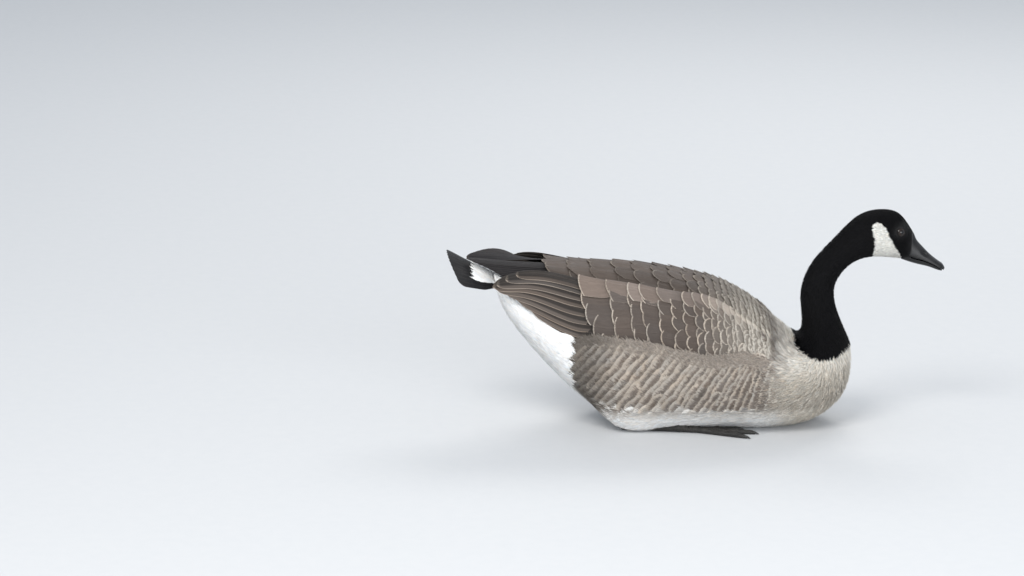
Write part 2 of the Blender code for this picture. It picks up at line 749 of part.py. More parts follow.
def tube(name, path, sizes, sides=6, grow=0.0):
    """A closed tube along a path on the ground, its rings oval and flattened where they touch it."""
    rings = []
    for i, (p, (half, up)) in enumerate(zip(path, sizes)):
        ahead = path[min(i + 1, len(path) - 1)] - path[max(i - 1, 0)]
        across = Vector((-ahead.y, ahead.x, 0)).normalized()
        ring = []
        for k in range(sides):
            angle = 2 * math.pi * (k + 0.5) / sides
            spot = p + across * ((half + grow) * math.cos(angle))
            spot.z = max(-grow, p.z + (up + grow) * math.sin(angle))
            ring.append(spot)
        rings.append(ring)
    return loft(name, rings)


def toe_parts(side, grow=0.0):
    """The toes with their claws, as closed meshes, and the points where the web ends on each toe."""
    origin, forward, outward = foot_frame(side)
    parts, web_ends = [], []
    for degrees, length, width in TOES:
        angle = math.radians(degrees)
        way = forward * math.cos(angle) + outward * math.sin(angle)
        half, up = width * MM / 2, TOE_HEIGHT / 2
        shares = (-0.04, 0.3, 0.62, 0.9, 1.0)
        swell = (1.0, 0.82, 0.86, 0.74, 0.4)
        path = [origin + way * (length * MM * s) + Vector((0, 0, up * k)) for s, k in zip(shares, swell)]
        parts.append(tube("toe", path, [(half * k, up * k) for k in swell], grow=grow))
        claw_path = [
            origin + way * (length * MM * 0.94 + CLAW_LENGTH * s) + Vector((0, 0, h * MM))
            for s, h in ((0, 3.0), (0.55, 2.9), (1.0, 1.0))
        ]
        sizes = [(1.9 * MM, 1.7 * MM), (1.5 * MM, 1.4 * MM), (0.5 * MM, 0.6 * MM)]
        parts.append(tube("claw", claw_path, sizes, sides=6, grow=grow))
        web_ends.append(origin + way * (length * MM * WEB_REACH))
    return parts, web_ends


def web(side, ends, grow=0.0):
    """The skin between the toes, a thin plate with a scalloped front edge."""
    origin, forward, _ = foot_frame(side)
    outline = [origin - forward * 4 * MM, ends[0]]
    for a, b in zip(ends, ends[1:]):
        outline += [(a + b) / 2 - forward * 9 * MM, b]
    low = [p + Vector((0, 0, 0.4 * MM - grow)) for p in outline]
    top = [p + Vector((0, 0, 0.4 * MM + WEB_THICK + grow)) for p in outline]
    count = len(outline)
    faces = [(0, i, i + 1) for i in range(1, count - 1)]
    faces += [(count, count + i + 1, count + i) for i in range(1, count - 1)]
    for i in range(count):
        k = (i + 1) % count
        faces.append((i, count + i, count + k, k))
    return face_out(mesh_of("web", low + top, faces))


def shank_mesh(side, grow=0.0):
    """The shank, lying on the ground behind the toes, thicker at the heel."""
    origin, forward, _ = foot_frame(side)
    half, up = SHANK_HALF
    shares = (0.0, 0.1, 0.35, 0.8, 0.95, 1.0)
    swell = (0.8, 0.95, 0.78, 0.85, 1.1, 0.8)
    start = origin - forward * (7 * MM - grow)
    length = SHANK_LENGTH + 2 * grow
    path = [start - forward * (length * s) + Vector((0, 0, up * k)) for s, k in zip(shares, swell)]
    return tube("shank", path, [(half * k, up * k) for k in swell], sides=10, grow=grow)


def knuckle(side, grow=0.0):
    """The joint that the toes and the web spread from."""
    origin, forward, _ = foot_frame(side)
    path = [origin + forward * s + Vector((0, 0, KNUCKLE_HEIGHT)) for s in (-6.6 * MM, 0, 8 * MM)]
    sizes = [(6.0 * MM, 4.4 * MM), (6.6 * MM, 4.8 * MM), (4.0 * MM, 3.6 * MM)]
    path[0] -= forward * grow
    return tube("knuckle", path, sizes, grow=grow)


def build_leg(letter, side):
    parts, ends = toe_parts(side)
    first, *others = parts
    foot = new_object(f"foot_{letter}", "leg", first)
    boolean(foot, [scrap(m) for m in (*others, web(side, ends), knuckle(side))], "UNION")
    new_object(f"shank_{letter}", "leg", shank_mesh(side))


def leg_cutters(side):
    """What the belly makes room for: the foot and the shank, grown by the gap."""
    parts, ends = toe_parts(side, grow=1.3 * GAP)
    grow = 1.3 * GAP
    return [*parts, web(side, ends, grow), shank_mesh(side, grow), knuckle(side, 2.5 * GAP)]


def build_torso():
    torso = flesh("torso", "brown", 0, NECK_CUT, TORSO_RINGS)
    cutters = []
    for _, side in SIDES:
        stations = WING_STATIONS + WING_END_STATIONS
        cutters.append(wing_pad("wing_pocket", side, stations, grow=1.2 * GAP, over=25 * MM))
        cutters.append(scapular_pad("scapular_pocket", side, grow=1.2 * GAP, over=22 * MM))
        cutters.append(primary_root(side, grow=GAP))
        cutters += leg_cutters(side)
    for cutter in cutters:
        boolean(torso, [scrap(cutter)], "DIFFERENCE")
    return torso


for old in list(bpy.data.objects):
    bpy.data.objects.remove(old)
PARTS = bpy.data.collections.new("canada_goose")
HELPERS = bpy.data.collections.new("helpers")
bpy.context.scene.collection.children.link(PARTS)
bpy.context.scene.collection.children.link(HELPERS)
random.seed(7)

build_torso()
flesh("neck_lower", "black", NECK_CUT, NECK_MIDDLE_CUT, NECK_LOWER_RINGS)
flesh("neck_upper", "black", NECK_MIDDLE_CUT, HEAD_CUT, NECK_UPPER_RINGS)
build_head()
build_bill()
build_tail()
for name, sign in SIDES:
    build_wing(name, sign)
    build_scapulars(name, sign)
    build_primaries(name, sign)
    build_leg(name, sign)
bpy.data.collections.remove(HELPERS)
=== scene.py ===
"""The looks of a life-size Canada goose at rest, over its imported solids.

A skin takes the place of the flesh, and every feather is a thin closed vane: small ones follow the skin,
coverts and scapulars lie on the surface over each side of the back, flight and tail feathers run free.
Lengths are in metres; the tables in millimetres are the driving dimensions of the solids.
"""

import math

import bpy
import numpy as np
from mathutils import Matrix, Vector
from mathutils.bvhtree import BVHTree

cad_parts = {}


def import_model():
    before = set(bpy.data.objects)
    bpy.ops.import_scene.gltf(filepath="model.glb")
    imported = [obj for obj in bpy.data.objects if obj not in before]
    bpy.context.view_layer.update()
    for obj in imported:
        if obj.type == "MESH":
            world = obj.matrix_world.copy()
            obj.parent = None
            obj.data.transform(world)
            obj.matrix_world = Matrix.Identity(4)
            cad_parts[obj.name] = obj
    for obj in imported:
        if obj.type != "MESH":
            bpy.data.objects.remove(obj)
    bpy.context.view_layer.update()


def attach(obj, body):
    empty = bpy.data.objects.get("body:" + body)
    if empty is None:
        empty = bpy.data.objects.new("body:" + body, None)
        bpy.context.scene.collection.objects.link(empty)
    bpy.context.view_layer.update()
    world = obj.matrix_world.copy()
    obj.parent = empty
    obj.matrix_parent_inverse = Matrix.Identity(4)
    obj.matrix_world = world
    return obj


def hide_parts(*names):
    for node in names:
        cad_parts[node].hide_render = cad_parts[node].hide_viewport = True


MM = 0.001
SIDES = (("L", 1.0), ("R", -1.0))
TURN = 2 * math.pi
UP = np.array((0, 0, 1))
rng = np.random.default_rng(11)

# The flesh: each station has the point on the back line and on the belly line (x, z), the half width,
# where the widest point lies from belly to back, and how square the ring is above and below it.
BODY_STATIONS = (
    ((-258, 199), (-255, 174), 24, 0.50, 2.0, 2.0),
    ((-240, 200), (-241, 138), 41, 0.50, 2.0, 2.0),
    ((-205, 199), (-203, 89), 62, 0.47, 2.1, 2.0),
    ((-160, 199), (-152, 38), 79, 0.46, 2.2, 2.1),
    ((-110, 200), (-104, 9), 88, 0.46, 2.2, 2.3),
    ((-50, 194), (-55, -4), 91, 0.47, 2.2, 2.5),
    ((20, 174), (20, -4), 92, 0.50, 2.2, 2.5),
    ((70, 148), (90, -3), 87, 0.53, 2.2, 2.4),
    ((100, 126), (145, 7), 76, 0.55, 2.2, 2.2),
    ((115, 113), (180, 36), 61, 0.54, 2.2, 2.1),
    ((122, 112), (190, 70), 49, 0.52, 2.1, 2.0),
    ((127, 120), (188, 100), 37, 0.50, 2.0, 2.0),
    ((127, 141), (176, 131), 25, 0.50, 2.0, 2.0),
    ((126, 168), (167.5, 163), 20.5, 0.50, 2.0, 2.0),
    ((139, 203), (174.5, 188), 20, 0.50, 2.0, 2.0),
    ((168.5, 237), (194, 206), 20.5, 0.50, 2.0, 2.0),
    ((199, 265), (218, 212), 24.5, 0.46, 2.1, 2.1),
    ((232, 271), (237, 211), 25, 0.44, 2.2, 2.2),
    ((251, 262.5), (250, 209.5), 20.5, 0.46, 2.2, 2.2),
    ((264.5, 243), (261, 207), 13.5, 0.48, 2.1, 2.2),
)
LAST_STATION = len(BODY_STATIONS) - 1
# How deep the skin lies under the outline of the solids: station, then millimetres.
COAT_DEPTH = ((0, 2.6), (9, 3.0), (12, 2.4), (15.5, 2.0), (17, 1.3), (18.3, 0.8), (19, 0.4))
FLOOR_CLEARANCE = 0.4 * MM

# The surface of the back: x, then y and z at v = 0, 0.5, 1, 1.5 and z at v = 2, the middle line.
MANTLE_STATIONS = (
    (104, (76, 97), (73, 105), (60, 113), (36, 122), 126),
    (60, (88, 103), (84, 125), (64, 144), (37, 156), 158),
    (10, (91, 103), (88, 141), (61, 171), (36, 182), 185),
    (-40, (89, 111), (87, 150), (61, 179), (34, 194), 199),
    (-90, (87, 119), (84, 157), (56, 187), (30, 201), 206),
    (-140, (81, 120), (78, 158), (47, 192), (26, 204), 208),
    (-185, (70, 137), (68, 170), (40, 201), (22, 206), 208),
    (-225, (58, 160), (58, 182), (42, 202), (22, 206), 207),
    (-262, (48, 178), (50, 183), (45, 190), (24, 203), 205),
)
# The far wing's tip is lifted, more and more over this stretch of x in millimetres.
LEFT_TIP_LIFT, LIFT_ZONE = 3.0 * MM, (-90, -260)

# Colours of the plumage, as the eye sees them (0 to 255).
PLUMAGE = {
    "black": (10, 10, 12),
    "black_rim": (22, 21, 22),
    "cheek": (230, 228, 221),
    "white": (249, 248, 246),
    "breast": (189, 181, 168),
    "breast_rim": (232, 226, 214),
    # painted light: a paler breast tone for high up, where the lamps light the breast less
    "breast_painted_light": (238, 233, 224),
    "flank": (112, 102, 94),
    "flank_rim": (180, 170, 158),
    "back": (80, 70, 63),
    "back_rim": (172, 161, 147),
    "covert": (79, 70, 64),
    "covert_rim": (186, 174, 160),
    "tertial": (98, 88, 81),
    "tertial_rim": (146, 133, 120),
    "primary": (34, 31, 32),
    "primary_rim": (50, 46, 45),
    "tail": (20, 19, 21),
    "tail_rim": (36, 33, 33),
}


def linear(name):
    """A plumage colour as linear light."""
    share = np.array(PLUMAGE[name], float) / 255
    return np.where(share <= 0.04045, share / 12.92, ((share + 0.055) / 1.055) ** 2.4)


# Curves and surfaces


def bend_matrix(count):
    """Takes values at equal unit steps to the bends of the natural cubic spline through them."""
    left, right = np.eye(count), np.zeros((count, count))
    for i in range(1, count - 1):
        left[i, i - 1 : i + 2] = 1, 4, 1
        right[i, i - 1 : i + 2] = 6, -12, 6
    return np.linalg.solve(left, right)


class Spline:
    """A natural cubic spline through rows of values, read at many places at once."""

    def __init__(self, knots, values):
        self.knots = np.asarray(knots, float)
        self.values = np.asarray(values, float).reshape(len(self.knots), -1)
        steps = np.diff(self.knots)
        matrix = np.eye(len(self.knots))
        right = np.zeros_like(self.values)
        for i in range(1, len(self.knots) - 1):
            matrix[i, i - 1 : i + 2] = steps[i - 1], 2 * (steps[i - 1] + steps[i]), steps[i]
            slopes = np.diff(self.values[i - 1 : i + 2], axis=0) / steps[i - 1 : i + 1, None]
            right[i] = 6 * (slopes[1] - slopes[0])
        self.bends = np.linalg.solve(matrix, right)

    def __call__(self, places):
        places = np.atleast_1d(np.asarray(places, float))
        i = np.clip(np.searchsorted(self.knots, places) - 1, 0, len(self.knots) - 2)
        step = (self.knots[i + 1] - self.knots[i])[:, None]
        b = (places - self.knots[i])[:, None] / step
        a = 1 - b
        bend = (a**3 - a) * self.bends[i] + (b**3 - b) * self.bends[i + 1]
        return a * self.values[i] + b * self.values[i + 1] + bend * step**2 / 6


BODY = Spline(range(len(BODY_STATIONS)), [(*t, *b, *rest) for t, b, *rest in BODY_STATIONS])
MANTLE = Spline(
    [row[0] for row in MANTLE_STATIONS[::-1]],
    [(*row[1], *row[2], *row[3], *row[4], row[5]) for row in MANTLE_STATIONS[::-1]],
)
SECTION_BENDS = bend_matrix(9)


def smooth_step(t):
    t = np.clip(t, 0.0, 1.0)
    return t * t * (3 - 2 * t)


def climb(values, start, full):
    """0 at start and 1 at full, both in millimetres, and smooth between them."""
    return smooth_step((values / MM - start) / (full - start))


def table(rows, places):
    """Values of a table of pairs at some places, in the table's units."""
    return np.interp(places, *zip(*rows))


def grid(*ranges):
    """The flat coordinates of a grid, the last one running fastest."""
    return [q.ravel() for q in np.meshgrid(*ranges, indexing="ij")]


def circle(count):
    return np.arange(count) * TURN / count


def unit(vectors):
    return vectors / np.maximum(np.linalg.norm(vectors, axis=-1, keepdims=True), 1e-12)


def body_shape(station, angle):
    """Points of the outline of the flesh; angle 0 is on the back, and it grows down the left side."""
    row = BODY(station)
    up, out = np.cos(angle), np.sin(angle)
    square = np.where(up > 0, row[:, 6], row[:, 7])
    reach = np.where(up > 0, 1 - row[:, 5], row[:, 5])
    share = row[:, 5] + reach * np.sign(up) * np.abs(up) ** (2 / square)
    y = row[:, 4] * np.sign(out) * np.abs(out) ** (2 / square)
    x = row[:, 2] + (row[:, 0] - row[:, 2]) * share
    z = row[:, 3] + (row[:, 1] - row[:, 3]) * share
    return np.stack([x, y, np.maximum(z, 0.0)], axis=1) * MM


def body_frame(station, angle):
    """Points of the outline with the outward normal and the direction towards the tail."""
    station = np.clip(np.asarray(station, float), 0.0, LAST_STATION - 0.012)
    spot = body_shape(station, angle)
    along = body_shape(station + 0.01, angle) - spot
    around = body_shape(station, angle + 0.01) - body_shape(station, angle - 0.01)
    return spot, unit(np.cross(along, around)), -unit(along)


def body_place(station, angle, height):
    spot, normal, _ = body_frame(station, angle)
    placed = spot + normal * np.asarray(height)[..., None]
    placed[:, 2] = np.maximum(placed[:, 2], FLOOR_CLEARANCE)
    return placed


def coat_depth(station):
    return table(COAT_DEPTH, station) * MM


def mantle_shape(side, x, v):
    """Points of the surface of the back on one side, v = 0 at the wing's lower edge."""
    row = MANTLE(x / MM)
    half = row[:, :8].reshape(-1, 4, 2)
    middle = np.stack([np.zeros(len(row)), row[:, 8]], axis=1)[:, None]
    section = np.concatenate([half, middle, half[:, ::-1] * np.array([-1, 1])], axis=1)
    bends = np.einsum("kj,njc->nkc", SECTION_BENDS, section)
    place = np.clip(v, 0, 4) * 2
    i = np.clip(place.astype(int), 0, 7)
    b = (place - i)[:, None]
    a, at = 1 - b, np.arange(len(row))
    spot = a * section[at, i] + b * section[at, i + 1]
    spot += ((a**3 - a) * bends[at, i] + (b**3 - b) * bends[at, i + 1]) / 6
    y, z = spot.T * MM
    if side > 0:
        z = z + LEFT_TIP_LIFT * climb(x, *LIFT_ZONE) * (1 - smooth_step(v - 1))
    return np.stack([x, side * y, z], axis=1)


def mantle_place(side, x, v, height):
    """Points at some height over the surface of the back."""
    x, v, height = (np.asarray(q, float).ravel() for q in np.broadcast_arrays(x, v, height))
    spot = mantle_shape(side, x, v)
    along = mantle_shape(side, x + 0.5 * MM, v) - spot
    across = mantle_shape(side, x, v + 0.01) - spot
    return spot + unit(np.cross(along, across)) * (-side * height)[:, None]


def mantle_chord(side, x, v, step=0.05):
    """Metres for each unit of v across the back."""
    x, v = (np.asarray(q, float).ravel() for q in np.broadcast_arrays(x, v))
    return np.linalg.norm(mantle_shape(side, x, v + step) - mantle_shape(side, x, v), axis=1) / step


# Markings

CHEEK_PATCH = (
    (214.5, 216), (215.5, 230), (214.6, 242), (212, 251), (213, 257), (217.5, 259.5), (224, 257.6),
    (229, 252.5), (233, 244), (237.5, 235), (243, 224.5), (247, 218), (249.5, 210), (249, 200), (214, 200),
)
# Where markings, and the painted light high on the breast, fade in, in millimetres: the place where each
# starts and the place where it is full.
BREAST_PAINTED_LIGHT, BREAST_DUSK = (60, 105), (95, 35)
BELLY_LOW, BELLY_MIDDLE, BELLY_WHITE = (40, 12), (56, 34), (130, 70)
FLANK_FRONT, FLANK_HIGH_SHIFT = (110, 62), 11
FLANK_REAR_DARK, FLANK_REAR_END = (-90, -140), (-168, -160)
# Hard edges of markings: x of the white vent, and x and z of the dark rump.
VENT_FROM, RUMP_X, RUMP_FROM_Z = -158 * MM, (-246 * MM, -190 * MM), 188 * MM
STOCKING_FROM, STOCKING_LOW = 116 * MM, (153, 90)
FLANK_RIMS = np.array((0.34, 0.17))
# The waves that make edges uneven: their way through space and their shift.
WOBBLE_WAVES = (((1.7, 2.3, 1.1), 0.0), ((-2.9, 1.3, 3.1), 1.3), ((4.1, -3.7, 2.2), 4.0))


def in_outline(x, z, outline):
    """Which points of the side view lie inside an outline in millimetres."""
    inside = np.zeros(len(x), bool)
    for (x0, z0), (x1, z1) in zip(outline, outline[1:] + outline[:1]):
        crosses = (z0 * MM > z) != (z1 * MM > z)
        at = x0 * MM + (z - z0 * MM) / ((z1 - z0) * MM + 1e-12) * (x1 - x0) * MM
        inside ^= crosses & (x < at)
    return inside


def wobble(points, scale, size):
    """A smooth unevenness for the edges of markings; its scale and its size are in millimetres."""
    p = points / (scale * MM)
    waves = sum(np.sin(p @ way + shift) for way, shift in WOBBLE_WAVES)
    return waves * size * MM / len(WOBBLE_WAVES)


def stocking_edge(x):
    """The height of the lower edge of the black neck, over x."""
    ahead = x / MM - STOCKING_LOW[0]
    return (STOCKING_LOW[1] + np.where(ahead < 0, 0.0125, 0.008) * ahead**2) * MM


def is_black(points, rough=1.6):
    """Where the black of the head and neck reaches on the body."""
    edge = stocking_edge(points[:, 0]) + wobble(points, 2.2, rough)
    return (points[:, 0] > STOCKING_FROM) & (points[:, 2] > edge)


def blend(colours, target, share):
    """Mixes a target into colours, in place, by a share for each."""
    colours += (target - colours) * share[:, None]


def body_tones(points, tone, rim, widths):
    """Shades breast, flank and belly softly into each other, in place, with painted light high on the
    breast.
    """
    x, y, z = points.T
    # Painted light: the breast is painted paler high up, where less light falls on it.
    high = climb(z, *BREAST_PAINTED_LIGHT)
    blend(tone, linear("breast_painted_light"), high)
    under = climb(np.abs(y), *BELLY_MIDDLE) * (z < 90 * MM) * (x < 20 * MM)
    low = np.maximum(climb(z, *BELLY_LOW), under)
    flank = climb(x - FLANK_HIGH_SHIFT * MM * high + wobble(points, 9, 8), *FLANK_FRONT)
    for colours, target in ((tone, linear("flank")), (rim, linear("flank_rim")), (widths, FLANK_RIMS)):
        blend(colours, target, flank * (1 - low))
    dusk = 0.35 * climb(z, *BREAST_DUSK) * (1 - low) * (1 - flank)
    blend(tone, linear("flank"), dusk)
    blend(rim, linear("flank_rim"), 0.5 * dusk)
    pale = low * climb(x, *BELLY_WHITE)
    blend(tone, linear("white") * 0.82, pale)
    blend(rim, linear("white"), pale)
    shade = 0.5 * climb(x, *FLANK_REAR_END) * climb(x, *FLANK_REAR_DARK) * (1 - low)
    blend(tone, 0.0, shade)
    blend(rim, 0.0, shade)


def markings(points):
    """Tone, rim colour and the widths of the rim at the sides and at the tip, for feathers there."""
    starts = (linear("breast"), linear("breast_rim"), (0.25, 0.16))
    tone, rim, widths = (np.tile(q, (len(points), 1)) for q in starts)
    body_tones(points, tone, rim, widths)
    x, _, z = points.T
    edge = x + wobble(points, 5, 4)
    rough = wobble(points, 1.6, 0.8)
    rump = (edge < RUMP_X[1]) & (z > RUMP_FROM_Z) & (x > RUMP_X[0])
    for where, tone_name, rim_name, rims in (
        (edge < VENT_FROM, "white", "white", (0.2, 0.1)),
        (rump, "tail", "tail_rim", (0.2, 0.1)),
        (is_black(points, 2.0), "black", "black_rim", (0.3, 0.2)),
        (in_outline(x + rough, z + rough, CHEEK_PATCH), "cheek", "cheek", (0.2, 0.1)),
    ):
        tone[where], rim[where], widths[where] = linear(tone_name), linear(rim_name), rims
    return tone, rim, widths


# Meshes


def enter(name, mesh, material, slot, nodes=()):
    """Puts a mesh into the scene as a piece that rides on the bird."""
    mesh.materials.append(material)
    made = bpy.data.objects.new(name, mesh)
    bpy.context.scene.collection.objects.link(made)
    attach(made, "root")
    if nodes:
        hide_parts(*nodes)
    return mesh


def add_object(name, verts, faces, material, slot, nodes=()):
    mesh = bpy.data.meshes.new(name)
    mesh.from_pydata(np.asarray(verts).tolist(), [], faces)
    mesh.shade_smooth()
    return enter(name, mesh, material, slot, nodes)


def put_colour(mesh, name, colours):
    layer = mesh.attributes.new(name, "FLOAT_COLOR", "POINT")
    full = np.ones((len(mesh.vertices), 4), np.float32)
    full[:, :3] = colours
    layer.data.foreach_set("color", full.ravel())


def put_vector(mesh, name, vectors):
    layer = mesh.attributes.new(name, "FLOAT_VECTOR", "POINT")
    layer.data.foreach_set("vector", np.asarray(vectors, np.float32).ravel())


def put_uv(mesh, name, places):
    """Gives each corner the place of its vertex."""
    layer = mesh.uv_layers.new(name=name)
    corners = np.empty(len(mesh.loops), np.int32)
    mesh.loops.foreach_get("vertex_index", corners)
    layer.data.foreach_set("uv", np.asarray(places, np.float32)[corners].ravel())


def turned(faces):
    return [face[::-1] for face in faces]


def grid_faces(rows, columns, closed=False, start=0):
    """Quads of a grid of points, also round from the last column to the first if closed."""
    i, j = np.meshgrid(np.arange(rows - 1), np.arange(columns if closed else columns - 1), indexing="ij")
    k = (j + 1) % columns
    a, b = i * columns + j, i * columns + k
    quads = np.stack([a, b, b + columns, a + columns], axis=-1).reshape(-1, 4) + start
    return [tuple(quad) for quad in quads.tolist()]


def loft_faces(rings, sides):
    """Faces of a closed loft: the quads between its rings, and a cap on each end."""
    caps = [tuple(range(sides))[::-1], tuple(range((rings - 1) * sides, rings * sides))]
    return grid_faces(rings, sides, closed=True) + caps


def sheet_faces(rows, columns):
    """Faces of a thin closed sheet: a top grid, the same grid under it, and the walls between them."""
    rim = list(range(columns)) + [i * columns + columns - 1 for i in range(1, rows)]
    rim += [(rows - 1) * columns + j for j in range(columns - 2, -1, -1)]
    rim += [i * columns for i in range(rows - 2, 0, -1)]
    low = rows * columns
    walls = [(b, a, a + low, b + low) for a, b in zip(rim, rim[1:] + rim[:1])]
    return grid_faces(rows, columns) + turned(grid_faces(rows, columns, start=low)) + walls


# Rows of a vane: shares of its length from the root to the tip.
FINE_ROWS = (0.0, 0.15, 0.3, 0.45, 0.6, 0.74, 0.86, 0.95, 1.0)
SOFT_ROWS = (0.0, 0.35, 0.65, 0.88, 1.0)
ROOT_WIDTH, TIP_POWER = 0.5, 2.4
BAKE_PATCH = 0.003


class Vane:
    """The grid of a feather's top, closed by a flat underside, shared by all feathers of a coat."""

    def __init__(self, rows, columns):
        self.share, self.s = grid(rows, np.sin(np.linspace(-1, 1, columns) * math.pi / 2))
        self.width = ROOT_WIDTH + (1 - ROOT_WIDTH) * smooth_step(self.share / 0.4)
        self.rim = self.share == 1.0
        self.odd = np.tile(np.arange(columns) % 2, len(rows))
        last, end = columns - 1, (len(rows) - 1) * columns
        self.faces = grid_faces(len(rows), columns)
        self.top_faces = len(self.faces)
        for a in range(0, end, columns):
            self.faces.append((a + columns, a + columns + last, a + last, a))
        self.faces.append(tuple(range(columns))[::-1])
        self.faces.append(tuple(range(end, end + columns)))

    def outline(self, length, half, roundness, fringe):
        """Metres along and across each feather for its grid, with a rounded, split tip."""
        reach = 1 - (roundness * half / length)[:, None] * np.abs(self.s) ** TIP_POWER
        split = rng.uniform(0.2, 1.0, (len(length), len(self.s))) * np.where(self.odd, 1.0, 0.15)
        along = self.share * reach * length[:, None] - self.rim * split * fringe[:, None]
        return along, self.s * self.width * half[:, None]


class Tuft(Vane):
    """A narrow tuft of barbs: seven points and a keel, for the finest plumage."""

    def __init__(self):
        self.share = np.array((0.0, 0.0, 0.0, 0.5, 0.5, 0.5, 1.0))
        self.s = np.array((-1.0, 0.0, 1.0, -1.0, 0.0, 1.0, 0.0))
        self.width = np.array((0.6, 0.6, 0.6, 1.0, 1.0, 1.0, 1.0))
        self.rim = self.share == 1.0
        self.odd = np.zeros(7)
        self.faces = [(0, 1, 4, 3), (1, 2, 5, 4), (3, 4, 6), (4, 5, 6), (3, 5, 2, 0), (3, 6, 5), (2, 1, 0)]
        self.top_faces = 4


def feather_mesh(name, vane, points, flip):
    """The bare mesh of many feathers; points is feathers by places."""
    count, each = points.shape[:2]
    faces = turned(vane.faces) if flip else vane.faces
    corners = np.concatenate([np.array(face) for face in faces])
    all_corners = (corners[None] + np.arange(count)[:, None] * each).ravel()
    sizes = np.tile([len(face) for face in faces], count)
    starts = np.concatenate([[0], np.cumsum(sizes)[:-1]])
    mesh = bpy.data.meshes.new(name)
    mesh.vertices.add(count * each)
    mesh.vertices.foreach_set("co", points.reshape(-1).astype(np.float32))
    mesh.loops.add(len(all_corners))
    mesh.loops.foreach_set("vertex_index", all_corners.astype(np.int32))
    mesh.polygons.add(count * len(faces))
    mesh.polygons.foreach_set("loop_start", starts.astype(np.int32))
    mesh.update(calc_edges=True)
    mesh.shade_smooth()
    mark_rims(mesh, vane, each)
    return mesh


def join_feathers(name, vane, points, traits, material, slot, nodes=(), flip=False):
    """One piece of many feathers. Its traits are tone, rim, widths of the rim and spots on the unwrap."""
    mesh = feather_mesh(name, vane, points, flip)
    count, each = points.shape[:2]
    tone, rim, widths, spots = traits
    put_colour(mesh, "tone", np.repeat(tone, each, axis=0))
    put_colour(mesh, "rim", np.repeat(rim, each, axis=0))
    put_vector(mesh, "edges", np.repeat(np.column_stack([widths, rng.random(count)]), each, axis=0))
    put_uv(mesh, "Feather", np.tile(np.column_stack([(vane.s + 1) / 2, vane.share]), (count, 1)))
    patch = np.column_stack([vane.share - 0.5, vane.s * vane.width / 2]) * BAKE_PATCH
    put_uv(mesh, "OFBake", (spots[:, None] + patch[None]).reshape(-1, 2))
    enter(name, mesh, material, slot, nodes)


def face_edges(faces):
    return {(min(a, b), max(a, b)) for f in faces for a, b in zip(f, f[1:] + f[:1])}


def mark_rims(mesh, vane, each):
    """Keeps the edges between a feather's top and its underside sharp in the shading."""
    shared = face_edges(vane.faces[: vane.top_faces]) & face_edges(vane.faces[vane.top_faces :])
    codes = np.array([a * each + b for a, b in shared])
    ends = np.empty(len(mesh.edges) * 2, np.int32)
    mesh.edges.foreach_get("vertices", ends)
    ends = np.sort(ends.reshape(-1, 2) % each, axis=1)
    layer = mesh.attributes.new("sharp_edge", "BOOLEAN", "EDGE")
    layer.data.foreach_set("value", np.isin(ends[:, 0] * each + ends[:, 1], codes))


# Skin

SKIN_RINGS, SKIN_SIDES = 300, 120
# How high the flank's and the breast's feathers run over the wings, and how softly they climb there.
FLANK_COVER, BREAST_COVER, COVER_PASSES = 1.0 * MM, -1.8 * MM, 12
THIGH_AT, THIGH_SPREAD, THIGH_SWELL = (-96 * MM, 56 * MM), (36 * MM, 17 * MM), 15 * MM
# The plates under the feathers of the back: their grid, their underside, and how their ends dip.
PLATE_ROWS, PLATE_COLUMNS, PLATE_DEPTH, PLATE_SINK = 90, 24, 8.5 * MM, 40
WING_DROP, DROP_FADE = 1.4 * MM, (10, 65)
FRONT_SINK, FRONT_ZONE = 7.0 * MM, (80, 104)


def thigh_swell(points):
    """How far the folded thighs push the skin out under the belly."""
    x, y, z = points.T
    far = ((x - THIGH_AT[0]) / THIGH_SPREAD[0]) ** 2 + ((np.abs(y) - THIGH_AT[1]) / THIGH_SPREAD[1]) ** 2
    return THIGH_SWELL * np.exp(-far) * (z < 60 * MM)


def skin_grid():
    """Points of the skin with their stations and angles, and its faces without the ends."""
    s, a = grid(np.linspace(0, LAST_STATION, SKIN_RINGS), circle(SKIN_SIDES))
    points = body_place(s, a, thigh_swell(body_shape(s, a)) - coat_depth(s))
    return points, s, a, turned(grid_faces(SKIN_RINGS, SKIN_SIDES, closed=True))


def build_skin(material):
    """One skin for torso, neck and head, so that no seam shows."""
    points, s, a, _ = skin_grid()
    faces = turned(loft_faces(SKIN_RINGS, SKIN_SIDES))
    flesh = ("torso", "neck_lower", "neck_upper", "head")
    mesh = add_object("skin", points, faces, material, "body_plumage", flesh)
    tone, rim, _ = markings(points)
    put_colour(mesh, "tone", (0.75 * tone + 0.25 * rim) * 0.9)
    put_uv(mesh, "OFBake", np.column_stack([0.01 + 0.98 * s / LAST_STATION, a / TURN]))


def front_sink(x):
    """How deep the front end of the wings and the back dips under the breast's plumage."""
    return FRONT_SINK * climb(x, *FRONT_ZONE)


def back_drop(extra, x):
    """How deep the feathers of the back are rooted; the extra depth ends at the shoulder."""
    return WING_DROP + extra * (1 - climb(x, *DROP_FADE))


